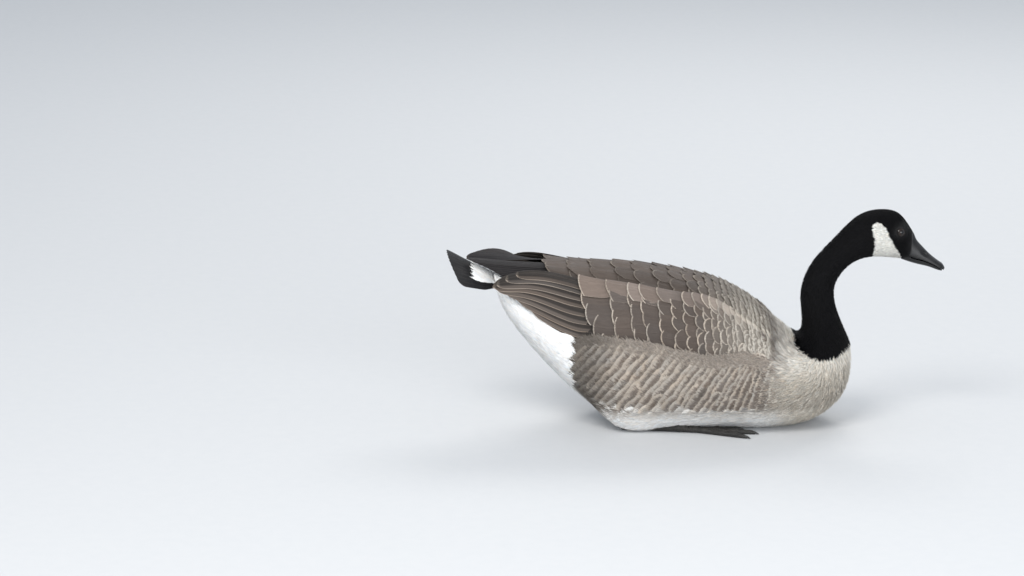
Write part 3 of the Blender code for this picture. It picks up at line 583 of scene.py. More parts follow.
def build_plate(name, side, coat, material):
    """A closed plate under the feathers of one coat of the back, sunk at the rear and at the front."""
    v_ends = coat.v_ends[0], round(coat.v_rows[1])
    x, v = grid(np.linspace(*coat.plate_x, PLATE_ROWS) * MM, np.linspace(*v_ends, PLATE_COLUMNS))
    sink = 0.85 * climb(x, coat.plate_sink, coat.plate_sink - PLATE_SINK)
    top, low = -back_drop(coat.extra, x), -PLATE_DEPTH
    top = top - (top - low) * sink - front_sink(x)
    points = np.concatenate([mantle_place(side, x, v, top), mantle_place(side, x, v, low - front_sink(x))])
    faces = sheet_faces(PLATE_ROWS, PLATE_COLUMNS)
    mesh = add_object(name, points, turned(faces) if side > 0 else faces, material, coat.slot)
    share = (x / MM - coat.plate_x[0]) / (coat.plate_x[1] - coat.plate_x[0])
    put_uv(mesh, "OFBake", 0.02 + 0.96 * np.tile(np.column_stack([share, v / 2]), (2, 1)))
    fore = climb(points[:, :1], *SHOULDER_FADE)
    put_colour(mesh, "tone", linear(coat.tone) * 0.6 * (1 - fore) + linear("breast") * 0.6 * fore)


def skin_tree():
    points, _, _, faces = skin_grid()
    return BVHTree.FromPolygons(points.tolist(), faces)


def cover_tree(height):
    """A search tree over the skin, swollen softly to some height over the wings and the back."""
    points, s, a, faces = skin_grid()
    normals = body_frame(s, a)[1]
    over = np.zeros(len(points))
    rows, columns = 90, 48
    for _, side in SIDES:
        x, v = grid(np.linspace(0.1, -0.2, rows), np.linspace(0, 2, columns))
        top = mantle_place(side, x, v, height - front_sink(x)).tolist()
        sheet = BVHTree.FromPolygons(top, grid_faces(rows, columns))
        near = (side * points[:, 1] > -MM) & (points[:, 0] < 110 * MM) & (points[:, 2] > 80 * MM)
        for i in np.flatnonzero(near):
            over[i] = sheet.ray_cast(Vector(points[i]), Vector(normals[i]), 20 * MM)[3] or 0.0
    over = over.reshape(SKIN_RINGS, SKIN_SIDES)
    for _ in range(COVER_PASSES):
        over = (over + sum(np.roll(over, step, axis) for step in (-1, 1) for axis in (0, 1))) / 5
    return BVHTree.FromPolygons((points + normals * over.reshape(-1, 1)).tolist(), faces)


# Small feathers on the skin

# Length and half width of the tufts of each coat, in millimetres.
TUFT_SIZES = {
    "head": (6.4, 0.66),
    "neck": (7.8, 0.74),
    "breast": (12, 1.25),
    "belly": (19, 1.6),
    "flank_edge": (13, 0.75),
    "tail_coverts": (15, 1.5),
}


def scatter(ends, gap):
    """Even, unordered places (station, angle) over the skin; gap gives the distance at a station."""
    steps, sides = max(2, int((ends[1] - ends[0]) * 40)), 120
    stations, angles = np.linspace(*ends, steps), circle(sides)
    s, a = grid(stations, angles)
    net = body_shape(s, a).reshape(steps, sides, 3)
    along = np.linalg.norm(np.gradient(net, axis=0), axis=2)
    around = np.linalg.norm(np.roll(net, -1, axis=1) - net, axis=2)
    density = 3.2 / gap(stations)[:, None] ** 2
    numbers = rng.poisson(along * around * density).ravel()
    s = np.repeat(s, numbers) + rng.uniform(-0.5, 0.5, numbers.sum()) * (stations[1] - stations[0])
    a = np.repeat(a, numbers) + rng.uniform(0, 1, numbers.sum()) * angles[1]
    s = np.clip(s, *ends)
    keep = thin_out(body_shape(s, a), gap(s) * 0.8)
    return s[keep], a[keep]


def thin_out(points, gaps):
    """Indices of points that are left when none is nearer to an earlier one than its gap."""
    cells = np.floor(points / gaps.max()).astype(int)
    around = [(i, j, k) for i in (-1, 0, 1) for j in (-1, 0, 1) for k in (-1, 0, 1)]
    spots, keys, limits = points.tolist(), cells.tolist(), (gaps**2).tolist()
    kept, full = [], {}

    def is_free(x, y, z, i, j, k, limit):
        for di, dj, dk in around:
            for ox, oy, oz in full.get((i + di, j + dj, k + dk), ()):
                if (x - ox) ** 2 + (y - oy) ** 2 + (z - oz) ** 2 < limit:
                    return False
        return True

    for n, (spot, key, limit) in enumerate(zip(spots, keys, limits)):
        if is_free(*spot, *key, limit):
            full.setdefault(tuple(key), []).append(spot)
            kept.append(n)
    return np.array(kept)


def snap(tree, points):
    """The nearest places of the surface under some points, with its normals there."""
    spots, normals = np.empty_like(points), np.empty_like(points)
    for i, p in enumerate(points):
        spots[i], normals[i] = tree.find_nearest(Vector(p))[:2]
    return spots, normals


def cast(tree, side, points):
    """Which points meet the surface straight in from one side, and where, with its normals there."""
    hits = [tree.ray_cast(Vector(point), Vector((0, -side, 0))) for point in points]
    met = np.array([hit[0] is not None for hit in hits])
    spots, normals = (np.array([hit[k] for hit in hits if hit[0] is not None]) for k in (0, 1))
    return met, spots, normals


class Coat:
    """Feathers laid on the skin: their roots, their lie, and their sizes in metres."""

    def __init__(self, spots, normals, lie, length, half):
        self.spots, self.normals = spots, normals
        self.lie = unit(lie - normals * (lie * normals).sum(1)[:, None])
        self.length, self.half = (np.broadcast_to(q, len(spots)).astype(float) for q in (length, half))
        self.low, self.high = -0.5 * MM, 1.0 * MM
        self.camber, self.roundness, self.fringe, self.rough, self.sway = 0.2, 0.9, 0.0, 0.05, 0.07

    def points(self, tree, vane):
        """Points of all feathers, following the surface under them."""
        count = len(self.spots)
        roundness, fringe, low, high, camber = (
            np.broadcast_to(q, count).astype(float)
            for q in (self.roundness, self.fringe, self.low, self.high, self.camber)
        )
        along, across = vane.outline(self.length, self.half, roundness, fringe)
        side = np.cross(self.normals, self.lie)
        share = along / self.length[:, None]
        sway = rng.normal(0, self.sway, (count, 1)) * along * share
        flat = self.spots[:, None] + self.lie[:, None] * along[..., None]
        flat = flat + side[:, None] * (across + sway)[..., None]
        spots, normals = snap(tree, flat.reshape(-1, 3))
        height = low[:, None] + (high - low)[:, None] * np.clip(share, 0, 1) ** 1.2
        height = height + (camber * self.half)[:, None] * (1 - vane.s**2)
        height = height + rng.normal(0, self.rough, (count, 1)) * across
        placed = spots + normals * height.reshape(-1, 1)
        placed[:, 2] = np.maximum(placed[:, 2], FLOOR_CLEARANCE)
        return placed.reshape(count, -1, 3)

    def traits(self, spread, light=1.0):
        """Colours by the markings near the tips, a little different from feather to feather, times light:
        painted light, where a coat paints its higher tufts lighter.
        """
        tone, rim, widths = markings(self.spots + self.lie * (self.length * 0.7)[:, None])
        return vary(tone, spread) * light, vary(rim, spread * 0.7) * light, widths, unwrap(self.spots)

    def build(self, name, tree, vane, material, traits, slot="body_plumage"):
        join_feathers(name, vane, self.points(tree, vane), traits, material, slot, flip=True)

    def barbs(self, tree, number, reach, half):
        """A coat of fine barbs that fan out over the tips of these feathers, number to each."""
        s = np.linspace(-0.94, 0.94, number) + rng.uniform(-0.04, 0.04, (len(self.spots), number))
        ends = 1 - (self.roundness * self.half / self.length)[:, None] * np.abs(s) ** TIP_POWER
        start = ends * rng.uniform(0.62, 0.8, s.shape)
        ends = ends + reach * rng.uniform(0.0, 1.3, s.shape) ** 2 / self.length[:, None]
        side = np.cross(self.normals, self.lie)
        roots, tips = (
            self.spots[:, None] + self.lie[:, None] * (t * self.length[:, None])[..., None]
            + side[:, None] * (s * spread * self.half[:, None])[..., None]
            for t, spread in ((start, 0.75), (ends, 1.06))
        )
        rise = self.high[:, None] - self.low
        crown = self.camber * self.half[:, None] * (1 - s**2)
        low, high = ((self.low + rise * t**1.2 + crown).ravel() for t in (start, ends))
        roots = roots.reshape(-1, 3)
        lie = tips.reshape(-1, 3) - roots
        halves = half * rng.uniform(0.75, 1.25, len(roots))
        made = Coat(*snap(tree, roots), lie, np.linalg.norm(lie, axis=1), halves)
        made.low, made.high = low + 0.05 * MM, high + rng.uniform(0.15, 0.4, len(roots)) * MM
        made.camber, made.rough, made.sway = 0.3, 0.1, 0.02
        return made


def unwrap(points):
    """Where places of the body lie on its unwrap: along its length and round it."""
    low, high = points.min(axis=0), points.max(axis=0)
    middle = (low + high) / 2
    turn = np.arctan2(points[:, 1] - middle[1], points[:, 2] - middle[2]) / TURN + 0.5
    share = (points[:, 0] - low[0]) / (high[0] - low[0])
    return 0.01 + 0.98 * np.column_stack([share, turn])


def vary(colours, amount, warm=0.02):
    """Small differences of lightness and warmth from feather to feather."""
    light = 1 + amount * rng.normal(size=(len(colours), 1))
    warmth = 1 + warm * rng.normal(size=(len(colours), 1)) * np.array([1, 0, -1])
    return np.clip(colours * np.clip(light, 0.5, 1.6) * warmth, 0.002, 0.98)


WING_EDGE = [(row[0], row[1][1]) for row in MANTLE_STATIONS[::-1]]


def under_wing(points, front=98 * MM):
    """Which points of the body the wings and scapulars cover, behind their front end."""
    x, y, z = points.T
    covered = (x < front) & (z > (table(WING_EDGE, x / MM) + 1.0) * MM)
    open_rump = (x < -198 * MM) & (np.abs(y) < 42 * MM) & (z > 180 * MM)
    return covered & ~open_rump


def skin_coat(s, a, length, half):
    """A coat whose feathers lie towards the tail from places on the skin."""
    spots, normals, lie = body_frame(s, a)
    return Coat(spots, normals, lie + rng.normal(0, 0.09, lie.shape), length, half)


def build_head_coat(tree, vane, material):
    """Very small feathers of the face and crown, smallest round the bill and the eye."""
    s, a = scatter((16.0, LAST_STATION - 0.02), lambda s: (0.82 - 0.1 * (s - 16)) * MM)
    spots = body_shape(s, a)
    far = np.hypot(spots[:, 0] - EYE_AT[0], spots[:, 2] - EYE_AT[1])
    s, a, far = (q[far > EYE_BARE] for q in (s, a, far))
    size = np.clip(1 - (s - 16) * 0.2, 0.42, 1) * np.clip(far / (15 * MM), 0.5, 1)
    size = size * rng.uniform(0.85, 1.15, len(s))
    length, half = TUFT_SIZES["head"]
    coat = skin_coat(s, a, length * MM * size, half * MM * size)
    coat.high = coat_depth(s) + 0.2 * MM * size + 0.1 * MM * rng.normal(size=len(s))
    coat.camber, coat.rough = 0.4, 0.25
    coat.build("coat_head", tree, vane, material, coat.traits(0.16), "head_plumage")


def build_neck_coat(tree, vane, material):
    """Fine, close feathers of the neck, loosest where the black ends over the breast."""
    s, a = scatter((8.6, 16.05), lambda s: 1.2 * MM + 0 * s)
    keep = is_black(body_place(s, a, 0) + (0, 0, -7 * MM)) & ~under_wing(body_shape(s, a))
    s, a = s[keep], a[keep]
    spots = body_shape(s, a)
    loose = climb(spots[:, 2] - stocking_edge(spots[:, 0]), 30, 0)
    size = rng.uniform(0.85, 1.2, len(s))
    length, half = TUFT_SIZES["neck"]
    coat = skin_coat(s, a, (length + 4.0 * loose) * MM * size, (half + 0.3 * loose) * MM)
    furrow = (0.3 + 0.35 * loose) * np.sin(a * 14 + 2.4 * np.sin(s * 1.3) + 1.5 * np.sin(a * 3))
    rise = 0.2 + 0.8 * loose + furrow + 0.15 * rng.normal(size=len(s))
    coat.high = coat_depth(s) + rise * MM
    coat.camber, coat.rough = 0.4, 0.25
    coat.build("coat_neck", tree, vane, material, coat.traits(0.18), "neck_plumage")


def build_breast_coat(tree, vane, material):
    """Soft, pale, close plumage of the breast and round the foot of the neck."""
    s, a = scatter((6.4, 12.6), lambda s: (2.5 - 0.2 * np.clip(s - 8, 0, 3)) * MM)
    spots = body_shape(s, a)
    lead = spots[:, 0] > 78 * MM + wobble(spots, 7, 5)
    covered = under_wing(spots, 81 * MM + wobble(spots, 7, 10))
    keep = ~covered & lead & ~is_black(spots + (0, 0, -5 * MM)) & (spots[:, 2] > 2 * MM)
    s, a, spots = s[keep], a[keep], spots[keep]
    size = rng.uniform(0.8, 1.2, len(s)) * (1 - 0.1 * np.clip(s - 8, 0, 3))
    length, half = TUFT_SIZES["breast"]
    coat = skin_coat(s, a, length * MM * size, half * MM * size)
    clump = wobble(spots, 4.2, 0.7) + wobble(spots, 1.9, 0.3)
    coat.high = coat_depth(s) + 0.5 * MM + clump
    coat.camber, coat.rough = 0.35, 0.2
    # Painted light: clumps of tufts that stand higher are painted lighter.
    coat.build("coat_breast", tree, vane, material, coat.traits(0.07, 1 + clump[:, None] / MM * 0.14))


def build_belly_coat(tree, vane, material):
    """White, dense plumage of the belly and the vent."""
    s, a = scatter((0.03, 8.2), lambda s: (2.8 - 0.12 * np.clip(4 - s, 0, 4)) * MM)
    spots = body_shape(s, a)
    x, _, z = spots.T
    top = (30 + 22 * climb(x, -95, -145)) * MM + wobble(spots, 8, 4)
    keep = ~under_wing(spots) & ((x < -149 * MM) | (z < top))
    s, a, spots = s[keep], a[keep], spots[keep]
    size = rng.uniform(0.8, 1.2, len(s))
    short = 1 - 0.5 * climb(spots[:, 0], -236, -252)
    length, half = TUFT_SIZES["belly"]
    coat = skin_coat(s, a, length * MM * size * short, half * MM * size)
    clump = wobble(spots, 7.0, 0.4) + wobble(spots, 2.6, 0.1)
    coat.low, coat.high = 0.4 * coat_depth(s), coat_depth(s) + 0.2 * MM + clump
    coat.camber, coat.rough = 0.2, 0.06
    # Painted light: clumps of tufts that stand higher are painted lighter.
    coat.build("coat_belly", tree, vane, material, coat.traits(0.04, 1 + clump[:, None] / MM * 0.06))


# The flank: rows of tips that lean forward at the top. FLANK_TOP is how high the feathers reach, over
# x; FLANK_LEAN the angle of the rows over the ground; both in millimetres and degrees.
FLANK_TOP = ((-170, 104), (-150, 126), (-125, 132), (-60, 124), (14, 108), (35, 111), (60, 115), (84, 104))
FLANK_LEAN = ((-150, 52), (-60, 50), (20, 58), (60, 70), (96, 80))
FLANK_ROW_GAP, FLANK_STEP = 11.0, 10.0
FLANK_ENDS, FLANK_LOW = (-164, 84), 20
# Length and half width of the flank's feathers in millimetres, at the rear and at the front.
FLANK_LENGTHS, FLANK_HALVES, FLANK_BARBS = (38, 23), (12.0, 9.0), 40
EDGE_TUFTS, REAR_TUFTS = 2400, 1000


def flank_tips():
    """Side-view places of the tips with the lean of their rows, in staggered rows."""
    found = []
    for row, start in enumerate(np.arange(FLANK_ENDS[0] - 60, FLANK_ENDS[1], FLANK_ROW_GAP)):
        lean = math.radians(table(FLANK_LEAN, start + 20))
        start = start + rng.uniform(-1.4, 1.4)
        along = FLANK_STEP * (0.5 * (row % 2) + rng.uniform(-0.1, 0.1))
        waves, size = rng.uniform(0, 6.28, 2), rng.uniform(0.5, 1.3)
        while True:
            x, z = start + along * math.cos(lean), FLANK_LOW + along * math.sin(lean)
            if z > table(FLANK_TOP, x) - 9 + rng.uniform(-2, 1):
                break
            x = x + size * (math.sin(along / 7.5 + waves[0]) + 0.6 * math.sin(along / 3.6 + waves[1]))
            if FLANK_ENDS[0] < x < FLANK_ENDS[1]:
                spot = x + rng.uniform(-0.9, 0.9), z + rng.uniform(-0.9, 0.9)
                found.append((*spot, lean + rng.normal(0, 0.05)))
            along += FLANK_STEP * rng.uniform(0.9, 1.1)
    return np.array(found).T


def flank_lie(lean):
    """Feathers of the flank lie square to the lean of their rows."""
    return np.column_stack([-np.sin(lean), np.zeros(len(lean)), np.cos(lean)])


def build_flank_coat(tree, side, letter, vane, tuft, material):
    """Broad, soft, pale-tipped feathers of the side, swept back and up over the wing's lower edge."""
    x, z, lean = flank_tips()
    front = smooth_step((x + 60) / 130)
    length, half = (
        (rear - (rear - fore) * front) * MM * rng.uniform(0.92, 1.08, len(x))
        for rear, fore in (FLANK_LENGTHS, FLANK_HALVES)
    )
    lie = flank_lie(lean)
    roots = np.column_stack([x * MM, np.full(len(x), side * 0.3), z * MM]) - lie * length[:, None]
    roots[:, 2] = np.maximum(roots[:, 2], 6 * MM)
    met, spots, normals = cast(tree, side, roots)
    coat = Coat(spots, normals, lie[met], length[met], half[met])
    rear = smooth_step((x[met] + 160) / 45)
    coat.low, coat.high = -0.8 * MM, (2.4 - 0.5 * rear - 0.5 * front[met]) * MM
    coat.camber, coat.roundness, coat.fringe, coat.rough, coat.sway = 0.03, 0.35, 0.6 * MM, 0.01, 0.02
    traits = coat.traits(0.08)
    coat.build(f"coat_flank_{letter}", tree, vane, material, traits)
    barbs = coat.barbs(tree, FLANK_BARBS, 2.2 * MM, 0.42 * MM)
    tone, rim = (vary(np.repeat(q, FLANK_BARBS, axis=0), 0.07) for q in traits[:2])
    traits = (tone, rim, np.tile((0.02, 0.5), (len(tone), 1)), unwrap(barbs.spots))
    barbs.build(f"coat_flank_barbs_{letter}", tree, tuft, material, traits)


def build_flank_edge(tree, side, letter, tuft, material):
    """Loose tufts that soften the upper and the rear edge of the flank."""
    x = np.concatenate([rng.uniform(-156, 84, EDGE_TUFTS), rng.uniform(-152, -134, REAR_TUFTS)])
    top = table(FLANK_TOP, x) - 6 - 15 * rng.random(len(x)) ** 1.5
    z = np.where(np.arange(len(x)) < EDGE_TUFTS, top, rng.uniform(20, 118, len(x)))
    lie = flank_lie(np.radians(table(FLANK_LEAN, x)))
    met, spots, normals = cast(tree, side, np.column_stack([x * MM, np.full(len(x), side * 0.3), z * MM]))
    count = met.sum()
    lie = lie[met] + rng.normal(0, 0.1, (count, 3))
    length, half = TUFT_SIZES["flank_edge"]
    coat = Coat(spots, normals, lie, length * MM * rng.uniform(0.8, 1.2, count), half * MM)
    coat.low, coat.high = 1.2 * MM, (2.4 + 0.4 * rng.normal(size=count)) * MM
    coat.camber, coat.rough = 0.3, 0.1
    tone, rim, widths, places = coat.traits(0.08)
    pale = rng.uniform(0.1, 0.5, (count, 1))
    traits = (tone * (1 - pale) + rim * pale, rim, widths, places)
    coat.build(f"coat_flank_edge_{letter}", tree, tuft, material, traits)


# Feathers on the back

# Rows of coverts: x of the uppermost tip, how far ahead the lowest tip lies, length and width of the
# feathers in millimetres, and how round their tips are.
COVERT_ROWS = (
    (-153, 25, 54, 31, 0.35),
    (-118, 16, 52, 29, 0.35),
    (-95, 13, 48, 28, 0.40),
    (-78, 12, 44, 27, 0.45),
    (-58, 9, 40, 26, 0.60),
    (-41, 8, 37, 25, 0.65),
    (-26, 8, 34, 24, 0.70),
    (-13, 8, 31, 23, 0.75),
    (-2, 7, 28, 22, 0.75),
    (8, 7, 26, 20, 0.75),
    (17, 6, 24, 19, 0.75),
    (25, 6, 22, 18, 0.75),
    (33, 6, 20, 17, 0.75),
    (40, 5, 19, 16, 0.75),
    (47, 5, 18, 15, 0.75),
    (54, 5, 17, 14, 0.8),
    (60, 4, 16, 13.5, 0.8),
    (66, 4, 15, 13, 0.8),
    (72, 4, 15, 12.5, 0.8),
    (78, 3, 14, 12, 0.8),
)
SCAPULAR_ROWS = (
    (-196, 5, 62, 38, 0.75),
    (-168, 6, 60, 38, 0.75),
    (-140, 7, 58, 37, 0.8),
    (-113, 8, 54, 36, 0.8),
    (-87, 8, 50, 34, 0.8),
    (-63, 8, 46, 32, 0.85),
    (-42, 8, 42, 30, 0.85),
    (-24, 7, 38, 27, 0.85),
    (-9, 7, 34, 25, 0.85),
    (3, 6, 30, 22, 0.85),
    (14, 6, 26, 19, 0.85),
    (23, 5, 23, 17, 0.85),
    (31, 5, 21, 15.5, 0.85),
    (38, 5, 19, 14.5, 0.85),
    (45, 4, 18, 13.5, 0.85),
    (52, 4, 17, 13, 0.85),
    (58, 4, 16, 12.5, 0.85),
    (64, 4, 15, 12, 0.85),
    (70, 3, 14, 11.5, 0.85),
    (76, 3, 14, 11, 0.85),
    (82, 3, 13, 10.5, 0.85),
    (88, 3, 13, 10, 0.85),
    (94, 2, 12, 10, 0.85),
    (100, 2, 12, 9.5, 0.85),
)
# How far apart the feathers of a row lie, in widths, and how far feathers turn at random.
ROW_SPACING, ROW_TURN = 0.62, 0.05
VANE_RISE, VANE_TILT = 2.0 * MM, 0.12 * MM
# The ridge of the wing's upper edge fades out towards the shoulder.
RIDGE_RISE, RIDGE_FADE = 2.0 * MM, (5, 70)
SHOULDER_FADE, FOREMOST_X = (10, 95), 106 * MM
RIM_BARBS = 34


class BackCoat:
    """One coat of the back: its rows, how it lies on the surface of the back, and its looks."""

    def __init__(self, node, rows, v_rows, v_ends, plate_x, plate_sink, extra, tone, slot):
        self.node, self.rows, self.v_rows, self.v_ends = node, rows, v_rows, v_ends
        self.plate_x, self.plate_sink, self.extra = plate_x, plate_sink, extra
        self.tone, self.slot = tone, slot

    def grow(self, side):
        """Roots (x, v), lengths, half widths and roundness of the feathers of one side."""
        found = []
        v_low, v_high = self.v_rows
        for i, (tip_x, slant, length, width, roundness) in enumerate(self.rows):
            middle = mantle_chord(side, tip_x * MM, sum(self.v_rows) / 2)[0]
            spacing = ROW_SPACING * min(1.0, 0.7 + width / 100)
            number = max(3, round((v_high - v_low) * middle / (width * MM * spacing)))
            loose = max(0.045, 0.15 - length * 0.0035)
            for j in range(number + 1):
                share = (j + 0.5 * (i % 2) + rng.uniform(-0.12, 0.12)) / number
                if share > 1.1:
                    continue
                share = min(max(share, 0.0), 1.0)
                size = rng.uniform(0.93, 1.07)
                tip = tip_x + slant * (1 - share) ** 1.4
                x = (tip + rng.uniform(-loose, loose) * length + length * size) * MM
                half = width * rng.uniform(0.92, 1.08) * MM / 2
                v = v_low + (v_high - v_low) * share
                found.append((x, v, length * size * MM, half, roundness * rng.uniform(0.9, 1.1)))
        self.lay(side, np.array(found).T)

    def lay(self, side, roots):
        """Settles how each feather turns and rises."""
        self.side, self.roots = side, roots
        x, v, length, half, roundness = (q[:, None] for q in roots)
        self.x, self.v, self.length, self.half, self.roundness = x, v, length, half, roundness
        self.chord = mantle_chord(side, x - length / 2, v)[:, None]
        self.base = ridge_height(v, x) - back_drop(self.extra, x)
        small = np.clip(1.4 - length / (28 * MM), 0, 1)
        self.turn = rng.normal(0, 1, x.shape) * (ROW_TURN + 0.1 * small)
        self.rise = rng.uniform(0.75, 1.25, x.shape) * VANE_RISE

    def place(self, along, across, over=0.0):
        """Points at distances along and across each feather, at some height over its vane."""
        at_x = np.minimum(self.x - along + across * self.turn, FOREMOST_X)
        at_v = np.clip(self.v + (across + along * self.turn) / self.chord, *self.v_ends)
        share, s = along / self.length, across / self.half
        height = self.base - 0.8 * MM + (self.rise + 0.8 * MM) * np.clip(share, 0, 2) ** 1.2
        height = height - front_sink(at_x) + 0.05 * self.half * (1 - s**2) - VANE_TILT * s + over
        return mantle_place(self.side, at_x, at_v, height).reshape(*along.shape, 3)

    def vanes(self, vane):
        length, half, roundness = self.length[:, 0], self.half[:, 0], self.roundness[:, 0]
        return self.place(*vane.outline(length, half, roundness, np.full(len(length), 0.3 * MM)))

    def barbs(self, tuft, number, reach, half):
        """Fine barbs over the tips of the vanes, number to each."""
        count = len(self.x)
        wide = 0.95 - 0.25 * np.clip(self.length / (40 * MM) - 0.4, 0, 1)
        s = wide * np.linspace(-1, 1, number) + rng.uniform(-0.04, 0.04, (count, number))
        rims = 1 - self.roundness * self.half / self.length * np.abs(s) ** TIP_POWER
        start = rims - rng.uniform(2.0, 4.5, s.shape) * MM / self.length
        ends = rims + reach * rng.uniform(-0.3, 1.0, s.shape) / self.length
        t, s = tuft.share[None, None], s[..., None]
        along = (start[..., None] + (ends - start)[..., None] * t) * self.length[..., None]
        fan = 1 + (0.05 + 0.1 * rng.normal(size=s.shape) * np.exp(-20 * s**2)) * t
        across = s * self.half[..., None] * fan + tuft.s * tuft.width * half
        over = (-0.15 + rng.uniform(0.1, 0.35, s.shape) * t + 0.08 * (1 - tuft.s**2)) * MM
        shape = (count, number * len(tuft.share))
        points = self.place(along.reshape(shape), across.reshape(shape), over.reshape(shape))
        return points.reshape(count * number, -1, 3)

    def traits(self, spread):
        """Colours of the vanes; small ones have the broader and paler rims. The tone has painted shade in
        the valley behind the wing's upper edge, and painted light along that edge.
        """
        x, v, length, _, _ = self.roots
        count = len(x)
        tone = vary(np.tile(linear(self.tone), (count, 1)), spread)
        rim = vary(np.tile(linear(f"{self.tone}_rim"), (count, 1)), spread * 1.5)
        large = np.clip((length / MM - 14) / 34, 0, 1)
        fore = climb(x, *SHOULDER_FADE)
        blend(tone, linear("breast"), 0.45 * fore)
        blend(rim, linear("breast_rim"), 0.6 * fore)
        # Painted shade darkens the large scapulars in the valley between the wings; a painted highlight
        # brightens the vanes along the wing's upper edge, where it turns to the light.
        valley_shade = np.where(v > 1, np.exp(-(((v - 1.22) / 0.24) ** 2)), 0.0) * large
        ridge = np.where(v < 1, np.exp(-(((1 - v) / 0.1) ** 2)), 0.0)
        tone *= (1 - 0.35 * valley_shade + 1.15 * ridge)[:, None]
        blend(rim, tone, np.where(v > 1, 0.55 * large, 0.0) + rng.uniform(0, 0.35, count))
        widths = np.column_stack([0.13 * (1 - large) ** 1.5, (2.1 - 0.3 * large + 0.7 * fore) * MM / length])
        return tone, rim, widths, 0.02 + 0.96 * np.column_stack([(x + 0.21) / 0.36, v / 2])

    def build(self, letter, vane, tuft, material):
        """The vanes take the node's place, and the barbs lie over their tips."""
        tone, rim, widths, spots = self.traits(0.08)
        join_feathers(f"{self.node}_coat_{letter}", vane, self.vanes(vane), (tone, rim, widths, spots),
                      material, self.slot, (f"{self.node}_{letter}",), flip=self.side > 0)
        tone, rim, spots = (np.repeat(q, RIM_BARBS, axis=0) for q in (tone, rim, spots))
        faded = rng.uniform(0.05, 0.75, (len(tone), 1))
        rim = vary(rim * (1 - faded) + tone * faded, 0.06)
        traits = (tone, rim, np.tile((0.02, 0.6), (len(tone), 1)), spots)
        join_feathers(f"{self.node}_barbs_{letter}", tuft, self.barbs(tuft, RIM_BARBS, 0.9 * MM, 0.32 * MM),
                      traits, material, self.slot, flip=self.side > 0)


# Node, rows, v of their first and last feather, the v that their vanes keep to, x of the ends of the
# plate and where its rear sinks, the extra depth, tone and slot.
BACK_COATS = (
    BackCoat("wing", COVERT_ROWS, (0.02, 0.98), (0.0, 1.06), (100, -160), -85, 0.0, "covert",
             "wing_plumage"),
    BackCoat("scapulars", SCAPULAR_ROWS, (1.04, 2.0), (1.0, 2.4), (104, -190), -140, 2.4 * MM, "back",
             "back_plumage"),
)


def ridge_height(v, x):
    """The wing's upper edge stands proud, and the scapulars dip behind it, less and less to the front."""
    over = np.where(v < 1, np.exp(-(((1 - v) / 0.16) ** 2)), 0.0)
    dip = np.where(v >= 1, np.exp(-(((v - 1.18) / 0.16) ** 2)), 0.0)
    return RIDGE_RISE * (over - 0.6 * dip) * (1 - climb(x, *RIDGE_FADE))


def build_back(letter, side, vane, tuft, materials):
    for coat in BACK_COATS:
        build_plate(f"{coat.node}_base_{letter}", side, coat, materials["skin"])
        coat.grow(side)
        coat.build(letter, vane, tuft, materials["vane"])


# Flight and tail feathers

BLADE_SHARES = 1 - (1 - np.linspace(0, 1, 24)) ** 1.35
BLADE_COLUMNS = 9
BLADE_ROOT_X = -116 * MM
BLADE_THICK, BLADE_CROWN = 0.7 * MM, 0.3 * MM
# Tertials and secondaries: v of the middle, x of the tip, half width and layer in millimetres, lightness.
LONG_BLADES = (
    (0.02, -178, 9, -0.9, 1.05),
    (0.09, -194, 10, -0.7, 1.05),
    (0.20, -213, 10.5, -0.5, 1.0),
    (0.31, -230, 11, -0.3, 1.0),
    (0.42, -244, 11, -0.1, 0.95),
    (0.53, -255, 11, 0.1, 0.9),
    (0.64, -259, 10.5, 0.3, 0.8),
    (0.74, -254, 10.5, 0.6, 0.7),
    (0.83, -243, 10, 0.9, 0.62),
    (0.91, -230, 9, 1.2, 0.58),
)
TERTIAL_SHADES = [row[4] for row in LONG_BLADES]


class Blade(Vane):
    """The grid of a long feather with a thin, closed edge all round."""

    def __init__(self):
        share, s = grid(BLADE_SHARES, np.linspace(-1, 1, BLADE_COLUMNS))
        self.share, self.s = np.tile(share, 2), np.tile(s, 2)
        taper = np.sqrt(np.clip(1 - np.clip((self.share - 0.8) / 0.2, 0, 1) ** 2.2, 0.01, 1))
        self.width = taper * (0.55 + 0.45 * smooth_step(self.share / 0.4))
        self.faces = sheet_faces(len(BLADE_SHARES), BLADE_COLUMNS)
        self.top_faces = (len(BLADE_SHARES) - 1) * (BLADE_COLUMNS - 1)


def long_blade(side, v, tip_x, half, layer):
    """A tertial or secondary, sunk under the last coverts at its root."""
    tip_x, half, layer = tip_x * MM, half * MM, layer * MM
    sway = rng.uniform(-0.012, 0.012)
    covert_tip, slant = COVERT_ROWS[0][:2]
    edge = covert_tip + slant * (1 - v) ** 1.4 + 13

    def place(t, s, height):
        x = BLADE_ROOT_X + (tip_x - BLADE_ROOT_X) * t
        chord = np.maximum(mantle_chord(side, np.maximum(x, -262 * MM), v), 24 * MM)
        at_v = np.clip(v + s * half / chord + sway * t, 0.012, 0.975)
        sunk = 4.0 * MM * (1 - climb(x, edge, edge - 24))
        height = layer - 0.8 * MM * s + height - sunk + 0.6 * ridge_height(at_v, x)
        return mantle_place(side, x, at_v, height)

    return place


